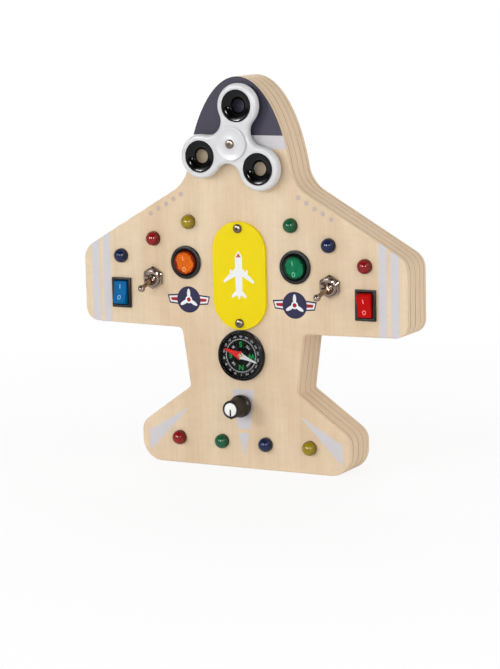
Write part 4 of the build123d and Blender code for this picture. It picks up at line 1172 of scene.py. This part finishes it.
# Floor, light and camera, in metres

studio = dict(
    aim=(0, 0, 0.13),
    # each softbox's power, size and place, then the power and size of the lights that share a place
    key=(9.3, 1.2, (-1.4, -1.95, 1.1)), side=(12, 1.2, (2.2, -0.4, 1.3)), rear=(22, 1.4, (-1.4, 2.2, 1.7)),
    panel=(5.4, 0.3), glint=(25, 0.28), panelShare=0.3,
    panels=[(-1.065, -1.845, 0.687), (0.0, -2.13, 0.687), (1.426, -1.584, 0.687)],
    worldStrength=0.45, mirrorTurn=0.0625, mirrorFall=0.8, floorSize=60.0,
    # the paper glows more further from the object, which leaves painted shade around it: the least, what is
    # added, and where in millimetres
    glowLeast=0.86, glowMore=0.14, glowNear=150, glowReach=450)
view = dict(place=(0.755, -1.411, 0.3495), turn=(80.838, 1.278, 28.0), lens=126.11, film=36.0)


def makeLight(name, power, size, place, share=1.0):
    letGo()
    bpy.ops.object.light_add(type="AREA", location=place)
    light = bpy.context.object
    light.name = name
    light.data.energy = power
    light.data.shape = "RECTANGLE"
    light.data.size = size
    light.data.size_y = size * share
    aim = Vector(studio["aim"]) - Vector(place)
    light.rotation_euler = aim.to_track_quat("-Z", "Y").to_euler()
    return light


def makeLights():
    makeLight("key_softbox", *studio["key"])
    for number, place in enumerate(studio["panels"]):
        makeLight(f"small_panel_{number}", *studio["panel"], place, studio["panelShare"])
        glint = makeLight(f"glint_{number}", *studio["glint"], place, studio["panelShare"])
        glint.visible_diffuse = False    # only for the small highlights on what is glossy
    makeLight("side_softbox", *studio["side"])
    makeLight("rear_softbox", *studio["rear"])


def makeFloor():
    letGo()
    bpy.ops.mesh.primitive_plane_add(size=studio["floorSize"], location=(0, 0, 0))
    floor = bpy.context.object
    floor.name = "studio_floor"
    finish = Finish("floor_paper", roughness=0.9)
    finish.set(baseColor=finish.mix(finish.noise(0.02), tint(246, 246, 247), tint(250, 250, 250)))
    x, y, _ = finish.place()
    # painted shade: near the object the paper glows less, so it shows darker there
    pastPaintedShade = ((x.distance(y) - studio["glowNear"]) / studio["glowReach"] - 0.5).edge(1)
    share = finish.looked() * (pastPaintedShade * studio["glowMore"] + studio["glowLeast"])
    glow = finish.node("Emission", {"Color": white, "Strength": 1.0})
    body = Flow(finish, finish.shader.outputs[0])
    mixed = finish.node("MixShader", {0: share, 1: body, 2: glow})
    finish.feed(finish.tree.nodes["Material Output"].inputs["Surface"], mixed)
    floor.data.materials.append(finish.material)


def makeWorld():
    world = bpy.data.worlds.new("studio_world")
    bpy.context.scene.world = world
    world.use_nodes = True
    nodes = Nodes(world.node_tree)
    # the studio is dark behind the camera, which only shows in what mirrors it
    aim = nodes.node("TexCoord", output="Generated")
    depth = nodes.node("SeparateXYZ", {0: aim}, 1)
    strength = (depth - studio["mirrorTurn"]).edge(studio["mirrorFall"]).most(nodes.ray("Camera"))
    soft, seen = [nodes.node("Background", {"Color": white, "Strength": value})
                  for value in (studio["worldStrength"], strength)]
    mixed = nodes.node("MixShader", {0: nodes.looked(), 1: soft, 2: seen})
    nodes.feed(nodes.tree.nodes["World Output"].inputs["Surface"], mixed)


def makeCamera():
    letGo()
    bpy.ops.object.camera_add(location=view["place"], rotation=[radians(angle) for angle in view["turn"]])
    camera = bpy.context.object
    camera.name = "front_camera"
    camera.data.lens = view["lens"]
    camera.data.sensor_width = view["film"]
    camera.data.clip_start = 0.05
    bpy.context.scene.camera = camera
    bpy.context.scene.view_settings.view_transform = "Standard"


makeLights()
makeFloor()
makeWorld()
makeCamera()
print("studio made")
